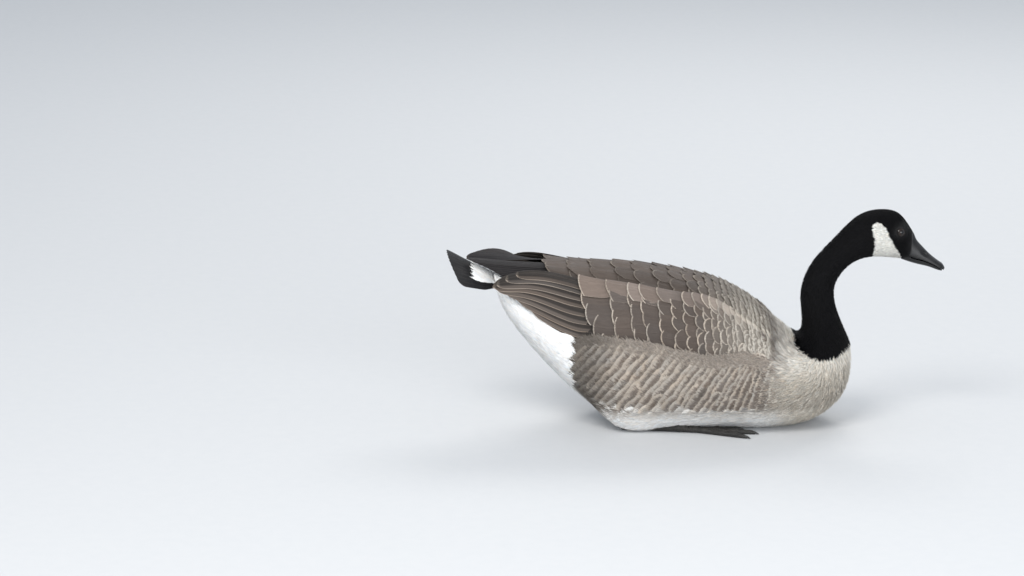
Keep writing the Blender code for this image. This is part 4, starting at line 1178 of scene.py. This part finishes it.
def build_blades(name, placers, tone_name, widths, material, slot, nodes, flip, shades=1.0):
    """Joins long feathers. Each placer gives points for t, s and a height."""
    blade = Blade()
    half = len(blade.s) // 2
    crown = BLADE_CROWN * (1 - blade.s**2)
    crown[half:] -= BLADE_THICK * (1.1 - blade.s[half:] ** 2)
    sets = np.array([place(blade.share, blade.s * blade.width, crown) for place in placers])
    count = len(sets)
    tone = vary(np.tile(linear(tone_name), (count, 1)), 0.07) * np.reshape(shades, (-1, 1))
    rim = vary(np.tile(linear(f"{tone_name}_rim"), (count, 1)), 0.05)
    spots = np.column_stack([np.linspace(0.05, 0.95, count), np.full(count, 0.5)])
    traits = (tone, rim, np.tile(widths, (count, 1)), spots)
    join_feathers(name, blade, sets, traits, material, slot, nodes, flip)


PRIMARIES = 7
PRIMARY_ROOT_X, PRIMARY_TIP_X, PRIMARY_SEEN_X = -160 * MM, -292 * MM, -190 * MM
PRIMARY_HEIGHT, PRIMARY_RISE, FAR_TIP_SLOPE = 206.0 * MM, 6.0 * MM, 0.7
PRIMARY_TIP_STEP, PRIMARY_LAYER, PRIMARY_HALF = 6.6 * MM, -0.65 * MM, 7.6 * MM
# How far out the first primary lies at its root and at its tip, and the step to each next one.
PRIMARY_ROOT_Y, PRIMARY_TIP_Y = (17, 2.4), (10, 3.1)


def primary_height(side, x, y):
    """The roof that the primaries lie on, sunk at their roots, and tipped on the far side."""
    u = (PRIMARY_SEEN_X - x) / (PRIMARY_SEEN_X - PRIMARY_TIP_X)
    sunk = 5.0 * MM * (1 - smooth_step((PRIMARY_ROOT_X - x) / (38 * MM)))
    roof = PRIMARY_HEIGHT - (y / MM) ** 2 * 0.008 * MM - sunk
    if side < 0:
        return roof + PRIMARY_RISE * u * np.abs(u)
    tipped = PRIMARY_HEIGHT + 1.0 * MM + FAR_TIP_SLOPE * (y - 8 * MM)
    return roof + (tipped - roof) * smooth_step(u * 1.1)


def primary_blade(side, number):
    tip_x = PRIMARY_TIP_X + number * PRIMARY_TIP_STEP
    root_y, tip_y = ((first + step * number) * MM for first, step in (PRIMARY_ROOT_Y, PRIMARY_TIP_Y))
    layer = PRIMARY_LAYER * number

    def place(t, s, height):
        x = PRIMARY_ROOT_X + (tip_x - PRIMARY_ROOT_X) * t
        y = root_y + (tip_y - root_y) * t + s * PRIMARY_HALF
        return np.stack([x, side * y, primary_height(side, x, y) + layer + height], axis=1)

    return place


TAIL_ROOT = np.array((-258.0, 0.0, 187.0)) * MM
TAIL_RISE, TAIL_SPREAD = math.radians(28), math.radians(27)
TAIL_LENGTH, TAIL_DROOP, TAIL_ROOT_HALF_WIDTH = 66 * MM, 15 * MM, 19 * MM
TAIL_FEATHERS, RECTRIX_HALF, RECTRIX_SUNK = 17, 10.0 * MM, 6 * MM
# The tail's coverts: name, side of the fan, and how far out along the tail they are rooted.
TAIL_COVERTS, TAIL_COVERT_COUNT = (("upper", 1, 18 * MM), ("under", -1, 26 * MM)), 1800


def tail_place(along, across, height):
    """Points of the tail's fan: along it, from -1 to 1 across it, and over it."""
    angle = TAIL_SPREAD * across
    forward = along * np.cos(angle)
    droop = TAIL_DROOP * across**2 * (0.3 + 0.7 * along / TAIL_LENGTH)
    x = TAIL_ROOT[0] - forward * math.cos(TAIL_RISE) - height * math.sin(TAIL_RISE)
    y = TAIL_ROOT_HALF_WIDTH * across + along * np.sin(angle)
    z = TAIL_ROOT[2] + forward * math.sin(TAIL_RISE) + height * math.cos(TAIL_RISE) - droop
    return np.stack([x, y, z], axis=1)


def rectrix(number):
    across = number / (TAIL_FEATHERS // 2)
    length = TAIL_LENGTH * (1 - 0.1 * across**2)
    layer = (1.2 - 0.5 * abs(number)) * MM

    def place(t, s, height):
        along = (length + RECTRIX_SUNK) * t - RECTRIX_SUNK
        wide = TAIL_ROOT_HALF_WIDTH + np.maximum(along, 0) * math.sin(TAIL_SPREAD)
        return tail_place(along, across + s * RECTRIX_HALF / wide, height + layer)

    return place


def build_flight(layered, material):
    for letter, side in SIDES:
        placers = [long_blade(side, *row[:4]) for row in LONG_BLADES]
        build_blades(f"tertials_{letter}", placers, "tertial", (0.09, 0.03), layered, "wing_plumage", (),
                     side > 0, TERTIAL_SHADES)
        placers = [primary_blade(side, k) for k in range(PRIMARIES)]
        build_blades(f"primary_vanes_{letter}", placers, "primary", (0.1, 0.03), material, "flight_feathers",
                     (f"primaries_{letter}",), side < 0)
    half = TAIL_FEATHERS // 2
    placers = [rectrix(k) for k in sorted(range(-half, half + 1), key=abs)]
    build_blades("tail_vanes", placers, "tail", (0.12, 0.04), material, "tail_feathers", ("tail",), False)


def build_tail_coverts(tuft, material):
    """White coverts over and under the root of the tail."""
    rows, columns, count = 30, 40, TAIL_COVERT_COUNT
    for name, sign, reach in TAIL_COVERTS:
        along, across = grid(np.linspace(-30, 75, rows) * MM, np.linspace(-1.2, 1.2, columns))
        height = sign * 2.2 * (1 + np.clip(1 - along / (30 * MM), 0, 3)) - 4.0 * np.abs(across)
        points = tail_place(along, across, height * MM)
        faces = grid_faces(rows, columns)
        tree = BVHTree.FromPolygons(points.tolist(), faces if sign > 0 else turned(faces))
        along, across = rng.uniform(-28 * MM, reach, count), rng.uniform(-1.1, 1.1, count)
        spots, normals = snap(tree, tail_place(along, across, np.full(count, sign * 2 * MM)))
        lie = np.column_stack([-np.ones(count), 0.45 * across, np.full(count, 0.5)])
        length, half = TUFT_SIZES["tail_coverts"]
        coat = Coat(spots, normals, lie, length * MM * rng.uniform(0.8, 1.2, count), half * MM)
        coat.low, coat.high = -0.4 * MM, rng.uniform(0.5, 1.3, count) * MM
        coat.camber, coat.rough = 0.25, 0.1
        white = vary(np.tile(linear("white"), (count, 1)), 0.03)
        traits = (white, white, np.tile((0.1, 0.05), (count, 1)), unwrap(spots))
        coat.build(f"tail_coverts_{name}", tree, tuft, material, traits)


# Bill, eyes and feet

BILL_ROOT, BILL_PITCH = np.array((262.0, 0.0, 222.0)) * MM, math.radians(-28.0)
# Stations of the bill in millimetres: the distance along it, half width, top and underside.
UPPER_BILL = (
    (-12.0, 13.2, 22.0, -9.4),
    (-6.0, 13.1, 18.8, -9.2),
    (0.0, 12.9, 14.0, -8.7),
    (6.0, 12.5, 11.0, -8.0),
    (13.0, 11.9, 8.6, -6.5),
    (21.0, 11.2, 5.9, -5.0),
    (30.0, 10.6, 3.6, -4.0),
    (39.0, 9.5, 2.2, -4.0),
    (46.0, 6.8, 0.5, -4.3),
    (49.5, 2.8, -1.9, -4.7),
)
LOWER_BILL = (
    (-5.0, 11.0, -9.9, -17.2),
    (8.0, 10.4, -8.5, -15.2),
    (19.0, 9.4, -6.1, -12.8),
    (29.0, 8.1, -4.9, -10.2),
    (38.0, 6.5, -4.8, -8.9),
    (45.0, 4.2, -5.1, -7.9),
    (48.0, 2.0, -5.4, -7.1),
)
NOSTRIL_AT, NOSTRIL_SIZE, NOSTRIL_DEPTH = (17.0, 3.3), (4.6, 1.7), 2.6
NAIL_FROM, NAIL_RISE = 41.5, 0.28


def bill_place(along, across, up):
    cos, sin = math.cos(BILL_PITCH), math.sin(BILL_PITCH)
    x = BILL_ROOT[0] + (along * cos - up * sin) * MM
    z = BILL_ROOT[2] + (along * sin + up * cos) * MM
    return np.stack([x, across * MM, z], axis=-1)


def upper_details(along, half, height, low, crest):
    """Presses the nostrils in, and adds the ridges along the mouth and the nail at the tip."""
    ahead = along - NOSTRIL_AT[0]
    far = (ahead / NOSTRIL_SIZE[0]) ** 2 + ((height - NOSTRIL_AT[1] + 0.12 * ahead) / NOSTRIL_SIZE[1]) ** 2
    half = half - np.sign(half) * NOSTRIL_DEPTH * np.exp(-far**1.6) * (np.abs(half) > 3)
    ridge = 0.10 * np.sin(along * 5.2) * np.exp(-((height - low - 0.9) ** 2) / 0.8)
    half = half + np.sign(half) * ridge * (along > 4)
    return half, height + smooth_step((along - NAIL_FROM) / 1.2) * NAIL_RISE * crest


def mandible(name, rows, start, is_upper, material, node):
    """A smooth mandible, flat on the side of the mouth."""
    rings, sides = 90, 72
    stations = start + (rows[-1][0] - start) * (1 - (1 - np.linspace(0, 1, rings)) ** 1.6)
    widest, top, low = Spline([row[0] for row in rows], [row[1:] for row in rows])(stations).T[..., None]
    up, out = np.cos(circle(sides))[None], np.sin(circle(sides))[None]
    half = widest * np.sign(out) * np.abs(out) ** 0.8
    rounded = np.abs(up) ** 1.05
    share = np.where((up > 0) == is_upper, 0.1 + 0.9 * rounded, 0.1 * (1 - rounded))
    height = low + (top - low) * share if is_upper else top - (top - low) * share
    along = np.broadcast_to(stations[:, None], height.shape)
    if is_upper:
        half, height = upper_details(along, half, height, low, (up > 0) * rounded)
    points = bill_place(along, half, height).reshape(-1, 3)
    add_object(name, points, turned(loft_faces(rings, sides)), material, "bill", (node,))


EYE_CENTRE_DEPTH, EYE_RADIUS, EYE_SEEN, LID_OUT = 4.2 * MM, 6.6 * MM, 5.1 * MM, 3.7 * MM
EYE_AT, EYE_BARE = (248.0 * MM, 247.0 * MM), 6.2 * MM
CORNEA_BULGE = 0.35 * MM


def eye_seat():
    """The point on the left cheek where the eye sits, and the cheek's normal there."""
    spot, normal, _ = body_frame(*grid(np.linspace(16, 18.98, 160), np.linspace(0.02, 3.1, 200)))
    best = np.argmin(np.hypot(spot[:, 0] - EYE_AT[0], spot[:, 2] - EYE_AT[1]))
    return spot[best], normal[best]


def build_eyes(eye_material, lid_material):
    spot, normal = eye_seat()
    for letter, side in SIDES:
        flip = np.array((1, side, 1))
        out = normal * flip
        centre = spot * flip - out * EYE_CENTRE_DEPTH
        across = unit(np.cross(UP, out))
        axes = across, np.cross(out, across), out
        build_eyeball(letter, centre, axes, eye_material)
        build_lids(letter, centre, axes, lid_material)


def build_eyeball(letter, centre, axes, material):
    """A ball with a bulging cornea that keeps the tilt from its axis for the iris."""
    across, up, out = axes
    rings, sides = 48, 64
    tilt, angle = grid(np.linspace(0.0001, math.pi, rings), circle(sides))
    bulge = EYE_RADIUS + CORNEA_BULGE * np.exp(-((tilt / 0.42) ** 2))
    ball = np.sin(tilt)[:, None] * (np.cos(angle)[:, None] * across + np.sin(angle)[:, None] * up)
    points = centre + bulge[:, None] * (ball + np.cos(tilt)[:, None] * out)
    faces = turned(grid_faces(rings, sides, closed=True))
    mesh = add_object(f"eyeball_{letter}", points, faces, material, "eye", (f"eye_{letter}",))
    put_vector(mesh, "iris", np.column_stack([tilt, angle, tilt * 0]))


def build_lids(letter, centre, axes, material):
    """The ring of the eyelids: thicker above, with fine folds round it."""
    across, up, out = axes
    around, tube = 96, 20
    turn, roll = grid(circle(around), circle(tube))
    brow = 0.5 + 0.5 * np.sin(turn)
    minor = (0.58 + 0.25 * brow) * MM * (1 + 0.05 * np.sin(turn * 24) * (np.cos(roll) > 0))
    reach = EYE_SEEN + 0.55 * MM + minor * np.cos(roll)
    level = LID_OUT + minor * np.sin(roll) * 0.9 + 0.25 * MM * np.cos(turn) ** 2
    corner = 1 + 0.09 * np.abs(np.cos(turn)) ** 3
    wide, tall = np.cos(turn) * reach * corner * 1.04, np.sin(turn) * reach * 0.95
    points = centre + wide[:, None] * across + tall[:, None] * up + level[:, None] * out
    quads = np.array(grid_faces(around + 1, tube, closed=True)) % (around * tube)
    add_object(f"lids_{letter}", points, quads[:, [0, 3, 2, 1]].tolist(), material, "head_plumage")


FOOT_AT, FOOT_YAW = np.array((-8.0, 59.0, 0.0)) * MM, math.radians(9.0)
# Toes: their angle to the foot's axis in degrees, length and width in millimetres.
TOES = ((-19.0, 58.0, 8.2), (-2.0, 76.0, 9.0), (15.0, 70.0, 8.2))
WEB_REACH, CLAW_LENGTH = 0.86, 10.0
# How thick toes, knuckle and shank are along their length.
TOE_SWELL = ((-0.06, 0.7), (0.1, 0.98), (0.4, 0.8), (0.62, 0.84), (0.9, 0.72), (0.97, 0.55), (1.0, 0.25))
KNUCKLE_SWELL = ((0, 0.9), (0.4, 1.0), (1, 0.6))
SHANK_SWELL = (
    (0.0, 0.75), (0.05, 0.9), (0.15, 0.93), (0.35, 0.78), (0.8, 0.84), (0.93, 1.08), (0.99, 0.85),
    (1.0, 0.5),
)


def foot_axes(side):
    """The foot's root, and its directions forward and outward."""
    origin = FOOT_AT * np.array((1, side, 1))
    forward = np.array((math.cos(FOOT_YAW), side * math.sin(FOOT_YAW), 0))
    outward = np.array((-math.sin(FOOT_YAW), side * math.cos(FOOT_YAW), 0))
    return origin, forward, outward


def limb(start, way, distance, height, half, up, sides=24):
    """Points and faces of a closed limb lying on the ground, oval in section."""
    path = start + way * distance[:, None] + UP * height[:, None]
    ahead = np.gradient(path, axis=0)
    across = unit(np.column_stack([-ahead[:, 1], ahead[:, 0], np.zeros(len(path))]))
    angle = circle(sides) + math.pi / sides
    points = path[:, None] + across[:, None] * (half[:, None] * np.cos(angle))[..., None]
    points[..., 2] += up[:, None] * np.sin(angle)
    points[..., 2] = np.maximum(points[..., 2], 0.05 * MM)
    return points.reshape(-1, 3), loft_faces(len(path), sides)


def join_parts(parts):
    verts, faces, start = [], [], 0
    for points, part_faces in parts:
        verts.append(points)
        faces += [tuple(start + k for k in face) for face in part_faces]
        start += len(points)
    return np.concatenate(verts), faces


def toe_limbs(side):
    """Toes with their joints, claws, and the way and reach of the web along each toe."""
    origin, forward, outward = foot_axes(side)
    toes, claws, edges = [], [], []
    for number, (degrees, length, width) in enumerate(TOES):
        angle = math.radians(degrees)
        way = forward * math.cos(angle) + outward * math.sin(angle)
        t = np.linspace(-0.06, 1.0, 60)
        swell = table(TOE_SWELL, t) * (1 + 0.07 * np.cos(t * TURN * (2 + number)))
        up = 4 * MM * swell
        toes.append(limb(origin, way, length * MM * t, up, width * MM / 2 * swell, up))
        c = np.linspace(0, 1, 16)
        size = np.sqrt(np.clip(1 - c**2.2, 0.01, 1)) * MM
        distance, height = (length * 0.93 + CLAW_LENGTH * c) * MM, (3.0 - 2.3 * c**2) * MM
        claws.append(limb(origin, way, distance, height, 1.9 * size, 1.7 * size, 16))
        edges.append((way, length * MM * WEB_REACH))
    return toes, claws, edges


def web_sheets(origin, edges):
    """The skin between the toes, thin, sagging a little, with a scalloped and thicker front edge."""
    rows, columns = 30, 20
    u, w = np.meshgrid(np.linspace(0.04, 1, rows), np.linspace(0, 1, columns), indexing="ij")
    belly = np.sin(math.pi * w)
    fold = 0.22 * MM * np.sin(w * 22 + u * 3) * belly * u
    height = (2.0 - 1.1 * belly * u) * MM + fold
    thick = (0.5 + 0.5 * np.exp(-(((1 - u) / 0.04) ** 2))) * MM
    parts = []
    for (way_a, reach_a), (way_b, reach_b) in zip(edges, edges[1:]):
        way = way_a * (1 - w)[..., None] + way_b * w[..., None]
        reach = reach_a * (1 - w) + reach_b * w - 11 * MM * belly
        top = origin + way * (reach * u)[..., None]
        low = top.copy()
        top[..., 2], low[..., 2] = height + thick, np.maximum(height - thick, 0.1 * MM)
        points = np.concatenate([top.reshape(-1, 3), low.reshape(-1, 3)])
        parts.append((points, sheet_faces(rows, columns)))
    return parts


def build_feet(skin, horn):
    """Each foot with its claws, and the shank that lies on the ground behind it."""
    for letter, side in SIDES:
        toes, claws, edges = toe_limbs(side)
        origin, forward, _ = foot_axes(side)
        t = np.linspace(0, 1, 20)
        swell = table(KNUCKLE_SWELL, t) * MM
        knuckle = limb(origin, forward, (-7 + 16 * t) * MM, 4.4 * MM + 0 * t, 6.4 * swell, 4.4 * swell)
        verts, faces = join_parts([*toes, knuckle, *web_sheets(origin, edges)])
        add_object(f"foot_skin_{letter}", verts, faces, skin, "foot_skin", (f"foot_{letter}",))
        verts, faces = join_parts(claws)
        add_object(f"claws_{letter}", verts, faces, horn, "foot_skin")
        t = np.linspace(0, 1, 70)
        swell = table(SHANK_SWELL, t) * MM
        verts, faces = limb(origin, -forward, (7 + 84 * t) * MM, 6.2 * swell, 7.4 * swell, 6.2 * swell, 32)
        add_object(f"shank_skin_{letter}", verts, faces, skin, "foot_skin", (f"shank_{letter}",))


# Materials


class Shader:
    """A small help to write node trees: each call adds a node and gives its output."""

    def __init__(self, name, **settings):
        self.material = bpy.data.materials.new(name)
        self.material.use_nodes = True
        self.nodes = self.material.node_tree.nodes
        self.links = self.material.node_tree.links
        self.surface = self.nodes["Principled BSDF"].inputs
        for socket, value in settings.items():
            self.surface[socket.replace("_", " ")].default_value = value

    def put(self, socket, value):
        if isinstance(value, bpy.types.NodeSocket):
            self.links.new(value, socket)
        elif value is not None:
            socket.default_value = value

    def add(self, kind, output=0, inputs=(), **settings):
        made = self.nodes.new("ShaderNode" + kind)
        for key, value in settings.items():
            setattr(made, key, value)
        for key, value in dict(inputs).items():
            self.put(made.inputs[key], value)
        return made.outputs[output]

    def math(self, operation, *values):
        return self.add("Math", inputs=enumerate(values), operation=operation)

    def times(self, a, b):
        return self.math("MULTIPLY", a, b)

    def times_add(self, a, b, c):
        return self.math("MULTIPLY_ADD", a, b, c)

    def attribute(self, name, output="Color"):
        return self.add("Attribute", output, attribute_name=name)

    def place(self):
        return self.add("TexCoord", "Object")

    def split(self, vector):
        made = self.nodes.new("ShaderNodeSeparateXYZ")
        self.links.new(vector, made.inputs[0])
        return made.outputs

    def join(self, x, y, z):
        return self.add("CombineXYZ", inputs={0: x, 1: y, 2: z})

    def noise(self, vector, scale, detail=3.0, rough=0.5):
        inputs = {"Vector": vector, "Scale": scale, "Detail": detail, "Roughness": rough}
        return self.add("TexNoise", inputs=inputs)

    def mix(self, factor, a, b, blend="MIX"):
        made = self.nodes.new("ShaderNodeMix")
        made.data_type, made.blend_type = "RGBA", blend
        for socket, value in ((made.inputs[0], factor), (made.inputs[6], a), (made.inputs[7], b)):
            self.put(socket, value)
        return made.outputs[2]

    def darken(self, colour, light):
        return self.mix(1.0, colour, self.join(light, light, light), "MULTIPLY")

    def ramp(self, value, low, high, to_low=0.0, to_high=1.0):
        inputs = {0: value, 1: low, 2: high, 3: to_low, 4: to_high}
        return self.add("MapRange", inputs=inputs, interpolation_type="SMOOTHSTEP")

    def bump(self, height, distance, strength):
        inputs = {"Height": height, "Distance": distance, "Strength": strength}
        self.links.new(self.add("Bump", inputs=inputs), self.surface["Normal"])

    def colour(self, value):
        self.links.new(value, self.surface["Base Color"])

    def roughness(self, value):
        self.links.new(value, self.surface["Roughness"])


def feather_marks(m, barbs):
    """The place along and across a feather, its soft unevenness, barbs and streaks, and its rim's share."""
    u, v, _ = m.split(m.add("UVMap", uv_map="Feather"))
    side_width, tip_width, seed = m.split(m.attribute("edges", "Vector"))
    shift = m.times(seed, 37.0)
    soft = m.noise(m.join(m.times(u, 7.0), m.times(v, 3.0), shift), 1.0, 4.0, 0.6)
    side = m.math("ABSOLUTE", m.times_add(u, 2.0, -1.0))
    side_in = m.math("SUBTRACT", 1.0, side)
    tip_in = m.math("SUBTRACT", 1.0, v)
    side_near = m.math("DIVIDE", side_in, m.math("MAXIMUM", side_width, 0.01))
    tip_near = m.math("DIVIDE", tip_in, m.math("MAXIMUM", tip_width, 0.01))
    slant = m.times_add(side, -0.22, v)
    barb = m.math("SINE", m.times_add(slant, barbs, m.times(soft, 3.0)))
    streaks = m.noise(m.join(m.times(u, 16.0), m.times(slant, 5.0), shift), 1.0, 3.0, 0.6)
    ragged = m.times_add(m.math("ADD", soft, streaks), 0.9, -0.9)
    near = m.math("ADD", m.math("MINIMUM", side_near, tip_near), ragged)
    return u, v, side, soft, barb, streaks, m.ramp(near, 1.2, 0.45)


def feather_material(name, barbs, barb_depth, streak, shaft, root=0.72, shade=None, **settings):
    """A feather: its tone, the paler rim, the shaft, and barbs that run out and towards the tip; painted
    shade darkens it towards the root, and, where shade is given, on the side that lies under the next
    feather.
    """
    m = Shader(name, **settings)
    u, v, side, soft, barb, streaks, rim_share = feather_marks(m, barbs)
    base = m.mix(rim_share, m.attribute("tone"), m.attribute("rim"))
    light = m.times_add(m.math("SUBTRACT", streaks, 0.5), streak, 1.0)
    light = m.times_add(barb, 0.04, light)
    # Painted shade: darker towards the root, which lies under the feathers before it.
    light = m.times(light, m.ramp(v, 0.0, 0.7, root, 1.0))
    if shade:
        light = m.times(light, m.ramp(u, *shade, 1.0, 0.3))
    shaft_line = m.ramp(side, 0.075, 0.02)
    m.colour(m.darken(base, m.times_add(shaft_line, shaft, light)))
    relief = m.times_add(barb, barb_depth, m.times(streaks, 0.8))
    m.bump(m.times_add(shaft_line, 0.9, relief), 0.0005, 0.6)
    m.roughness(m.ramp(soft, 0.25, 0.75, 0.55, 0.78))
    return m.material


def skin_material():
    """Down and feather bases, where they show between the feathers."""
    m = Shader("down", Roughness=0.85, Sheen_Weight=0.15)
    fine = m.noise(m.place(), 420.0, 4.0, 0.65)
    light = m.ramp(fine, 0.2, 0.8, 0.6, 1.1)
    m.colour(m.darken(m.attribute("tone"), light))
    m.bump(fine, 0.0012, 0.8)
    return m.material


def bill_material():
    """Satin black horn with faint growth lines and a paler sheen where it is worn."""
    m = Shader("horn", Roughness=0.36, Specular_IOR_Level=0.34)
    place = m.place()
    broad = m.noise(place, 60.0, 4.0, 0.6)
    fine = m.noise(place, 900.0, 3.0, 0.6)
    m.colour(m.mix(m.ramp(broad, 0.35, 0.7), (0.0045, 0.0045, 0.005, 1), (0.013, 0.0125, 0.013, 1)))
    m.roughness(m.ramp(m.math("ADD", broad, m.times(fine, 0.3)), 0.4, 0.95, 0.3, 0.5))
    m.bump(m.times_add(broad, 0.6, m.times(fine, 0.25)), 0.0006, 0.5)
    return m.material


def eye_material():
    """A dark brown iris round a black pupil, under a wet surface."""
    m = Shader("eye", Roughness=0.03, Specular_IOR_Level=0.4)
    tilt, angle, _ = m.split(m.attribute("iris", "Vector"))
    rays = m.noise(m.join(m.times(angle, 9.0), m.times(tilt, 3.0), 0.0), 1.0, 3.0, 0.6)
    iris = m.mix(rays, (0.005, 0.0024, 0.0012, 1), (0.018, 0.008, 0.004, 1))
    pupil = m.ramp(tilt, 0.36, 0.40)
    ring = m.ramp(tilt, 0.74, 0.82)
    inner = m.mix(pupil, (0.0012, 0.0012, 0.0014, 1), iris)
    m.colour(m.mix(ring, inner, (0.006, 0.0045, 0.004, 1)))
    return m.material


def fine_material(name, scale, detail, dark, light, distance, strength, **settings):
    """One fine noise for both colour and relief, as on lids and claws."""
    m = Shader(name, **settings)
    fine = m.noise(m.place(), scale, detail, 0.6)
    m.colour(m.mix(fine, dark, light))
    m.bump(fine, distance, strength)
    return m.material


def foot_material():
    """Dark webbed skin with a net of small scales."""
    m = Shader("foot", Roughness=0.5, Specular_IOR_Level=0.4)
    place = m.place()
    cells = m.add("TexVoronoi", "Distance", {"Vector": place, "Scale": 520.0}, feature="DISTANCE_TO_EDGE")
    scale = m.ramp(cells, 0.02, 0.22)
    broad = m.noise(place, 90.0, 4.0, 0.6)
    skin = m.mix(m.ramp(broad, 0.3, 0.7), (0.022, 0.021, 0.019, 1), (0.055, 0.051, 0.045, 1))
    m.colour(m.mix(scale, (0.014, 0.013, 0.012, 1), skin))
    m.roughness(m.ramp(broad, 0.3, 0.7, 0.42, 0.62))
    m.bump(scale, 0.0007, 0.7)
    return m.material


# Stage

# A long lens that looks down as the photograph does, with the bird right of the middle.
CAMERA_TARGET, CAMERA_DISTANCE = Vector((-0.235, 0.0, 0.1707)), 5.333
CAMERA_RISE, LENS, SENSOR_WIDTH = math.radians(14.0), 150.0, 36.0
# Lights: name, place, size, power and colour. All point at the bird's middle.
LIGHTS = (
    ("key", (-1.2, -1.9, 2.6), (1.6, 1.2), 62, (1.0, 0.97, 0.93)),
    ("fill", (1.2, -2.8, 0.9), (2.4, 1.4), 60, (0.96, 0.98, 1.0)),
    ("rim", (0.6, 2.2, 2.2), (1.8, 1.0), 34, (1.0, 0.98, 0.95)),
)
LIT_PLACE = Vector((0, 0, 0.12))
FLOOR_REACH = 12.0
SKY_COLOUR, SKY_STRENGTH = (0.86, 0.92, 1.0, 1), 0.8


def set_up(name, data, place, target):
    """A camera or a light that points at its target."""
    made = bpy.data.objects.new(name, data)
    made.location = place
    direction = target - made.location
    made.rotation_euler = direction.to_track_quat("-Z", "Y").to_euler()
    bpy.context.scene.collection.objects.link(made)
    return made


def build_camera():
    data = bpy.data.cameras.new("camera")
    data.lens, data.sensor_width = LENS, SENSOR_WIDTH
    back = Vector((0, -math.cos(CAMERA_RISE), math.sin(CAMERA_RISE)))
    camera = set_up("camera", data, CAMERA_TARGET + back * CAMERA_DISTANCE, CAMERA_TARGET)
    bpy.context.scene.camera = camera


def build_floor():
    m = Shader("floor", Roughness=0.75)
    fine = m.noise(m.place(), 60.0, 4.0, 0.5)
    m.colour(m.mix(fine, (0.54, 0.55, 0.56, 1), (0.57, 0.575, 0.58, 1)))
    mesh = bpy.data.meshes.new("floor")
    reach = FLOOR_REACH
    corners = [(-reach, -reach, 0), (reach, -reach, 0), (reach, reach, 0), (-reach, reach, 0)]
    mesh.from_pydata(corners, [], [(0, 1, 2, 3)])
    mesh.materials.append(m.material)
    floor = bpy.data.objects.new("floor", mesh)
    bpy.context.scene.collection.objects.link(floor)


def build_stage():
    bpy.context.scene.view_settings.view_transform = "Standard"
    build_floor()
    world = bpy.data.worlds.new("studio")
    world.use_nodes = True
    sky = world.node_tree.nodes["Background"].inputs
    sky[0].default_value, sky[1].default_value = SKY_COLOUR, SKY_STRENGTH
    bpy.context.scene.world = world
    for name, place, size, power, colour in LIGHTS:
        data = bpy.data.lights.new(name, "AREA")
        data.shape, data.size, data.size_y = "RECTANGLE", *size
        data.energy, data.color = power, colour
        set_up(name, data, place, LIT_PLACE)


def build_materials():
    lid_tones = (0.004, 0.0038, 0.0038, 1), (0.014, 0.013, 0.012, 1)
    claw_tones = (0.010, 0.0095, 0.009, 1), (0.03, 0.028, 0.026, 1)
    return {
        "skin": skin_material(),
        "soft": feather_material("soft_plumage", 60.0, 0.1, 0.4, 0.0, 0.9, Specular_IOR_Level=0.2,
                                 Sheen_Weight=0.05),
        "dark": feather_material("dark_plumage", 40.0, 0.1, 0.7, 0.0, Specular_IOR_Level=0.12),
        "vane": feather_material("back_plumage", 520.0, 0.16, 0.5, 0.1, Specular_IOR_Level=0.3),
        "flight": feather_material("flight_plumage", 700.0, 0.2, 0.34, 0.2, Specular_IOR_Level=0.25),
        "layered": feather_material("layered_plumage", 700.0, 0.2, 0.4, 0.2, 0.72, (0.17, 0.3),
                                    Specular_IOR_Level=0.3),
        "eye": eye_material(),
        "lid": fine_material("lid", 1500.0, 3.0, *lid_tones, 0.0004, 0.7, Roughness=0.6,
                             Specular_IOR_Level=0.15),
        "horn": bill_material(),
        "foot": foot_material(),
        "claw": fine_material("claw", 300.0, 4.0, *claw_tones, 0.0003, 0.5, Roughness=0.35),
    }


def build_plumage(materials):
    """Every feather of the bird, from the back to the tail."""
    vane, fringed, tuft = Vane(FINE_ROWS, 13), Vane(SOFT_ROWS, 15), Tuft()
    soft, dark = materials["soft"], materials["dark"]
    for letter, side in SIDES:
        build_back(letter, side, vane, tuft, materials)
    tree = skin_tree()
    cover = cover_tree(FLANK_COVER)
    build_belly_coat(tree, tuft, soft)
    build_breast_coat(cover_tree(BREAST_COVER), tuft, soft)
    for letter, side in SIDES:
        build_flank_coat(cover, side, letter, fringed, tuft, soft)
        build_flank_edge(cover, side, letter, tuft, soft)
    build_neck_coat(tree, tuft, dark)
    build_head_coat(tree, tuft, dark)
    build_flight(materials["layered"], materials["flight"])
    build_tail_coverts(tuft, soft)


def main():
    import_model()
    materials = build_materials()
    build_skin(materials["skin"])
    build_plumage(materials)
    mandible("bill_over", UPPER_BILL, -9.0, True, materials["horn"], "bill_upper")
    mandible("bill_under", LOWER_BILL, -4.0, False, materials["horn"], "bill_lower")
    build_eyes(materials["eye"], materials["lid"])
    build_feet(materials["foot"], materials["claw"])
    build_stage()
    build_camera()


main()
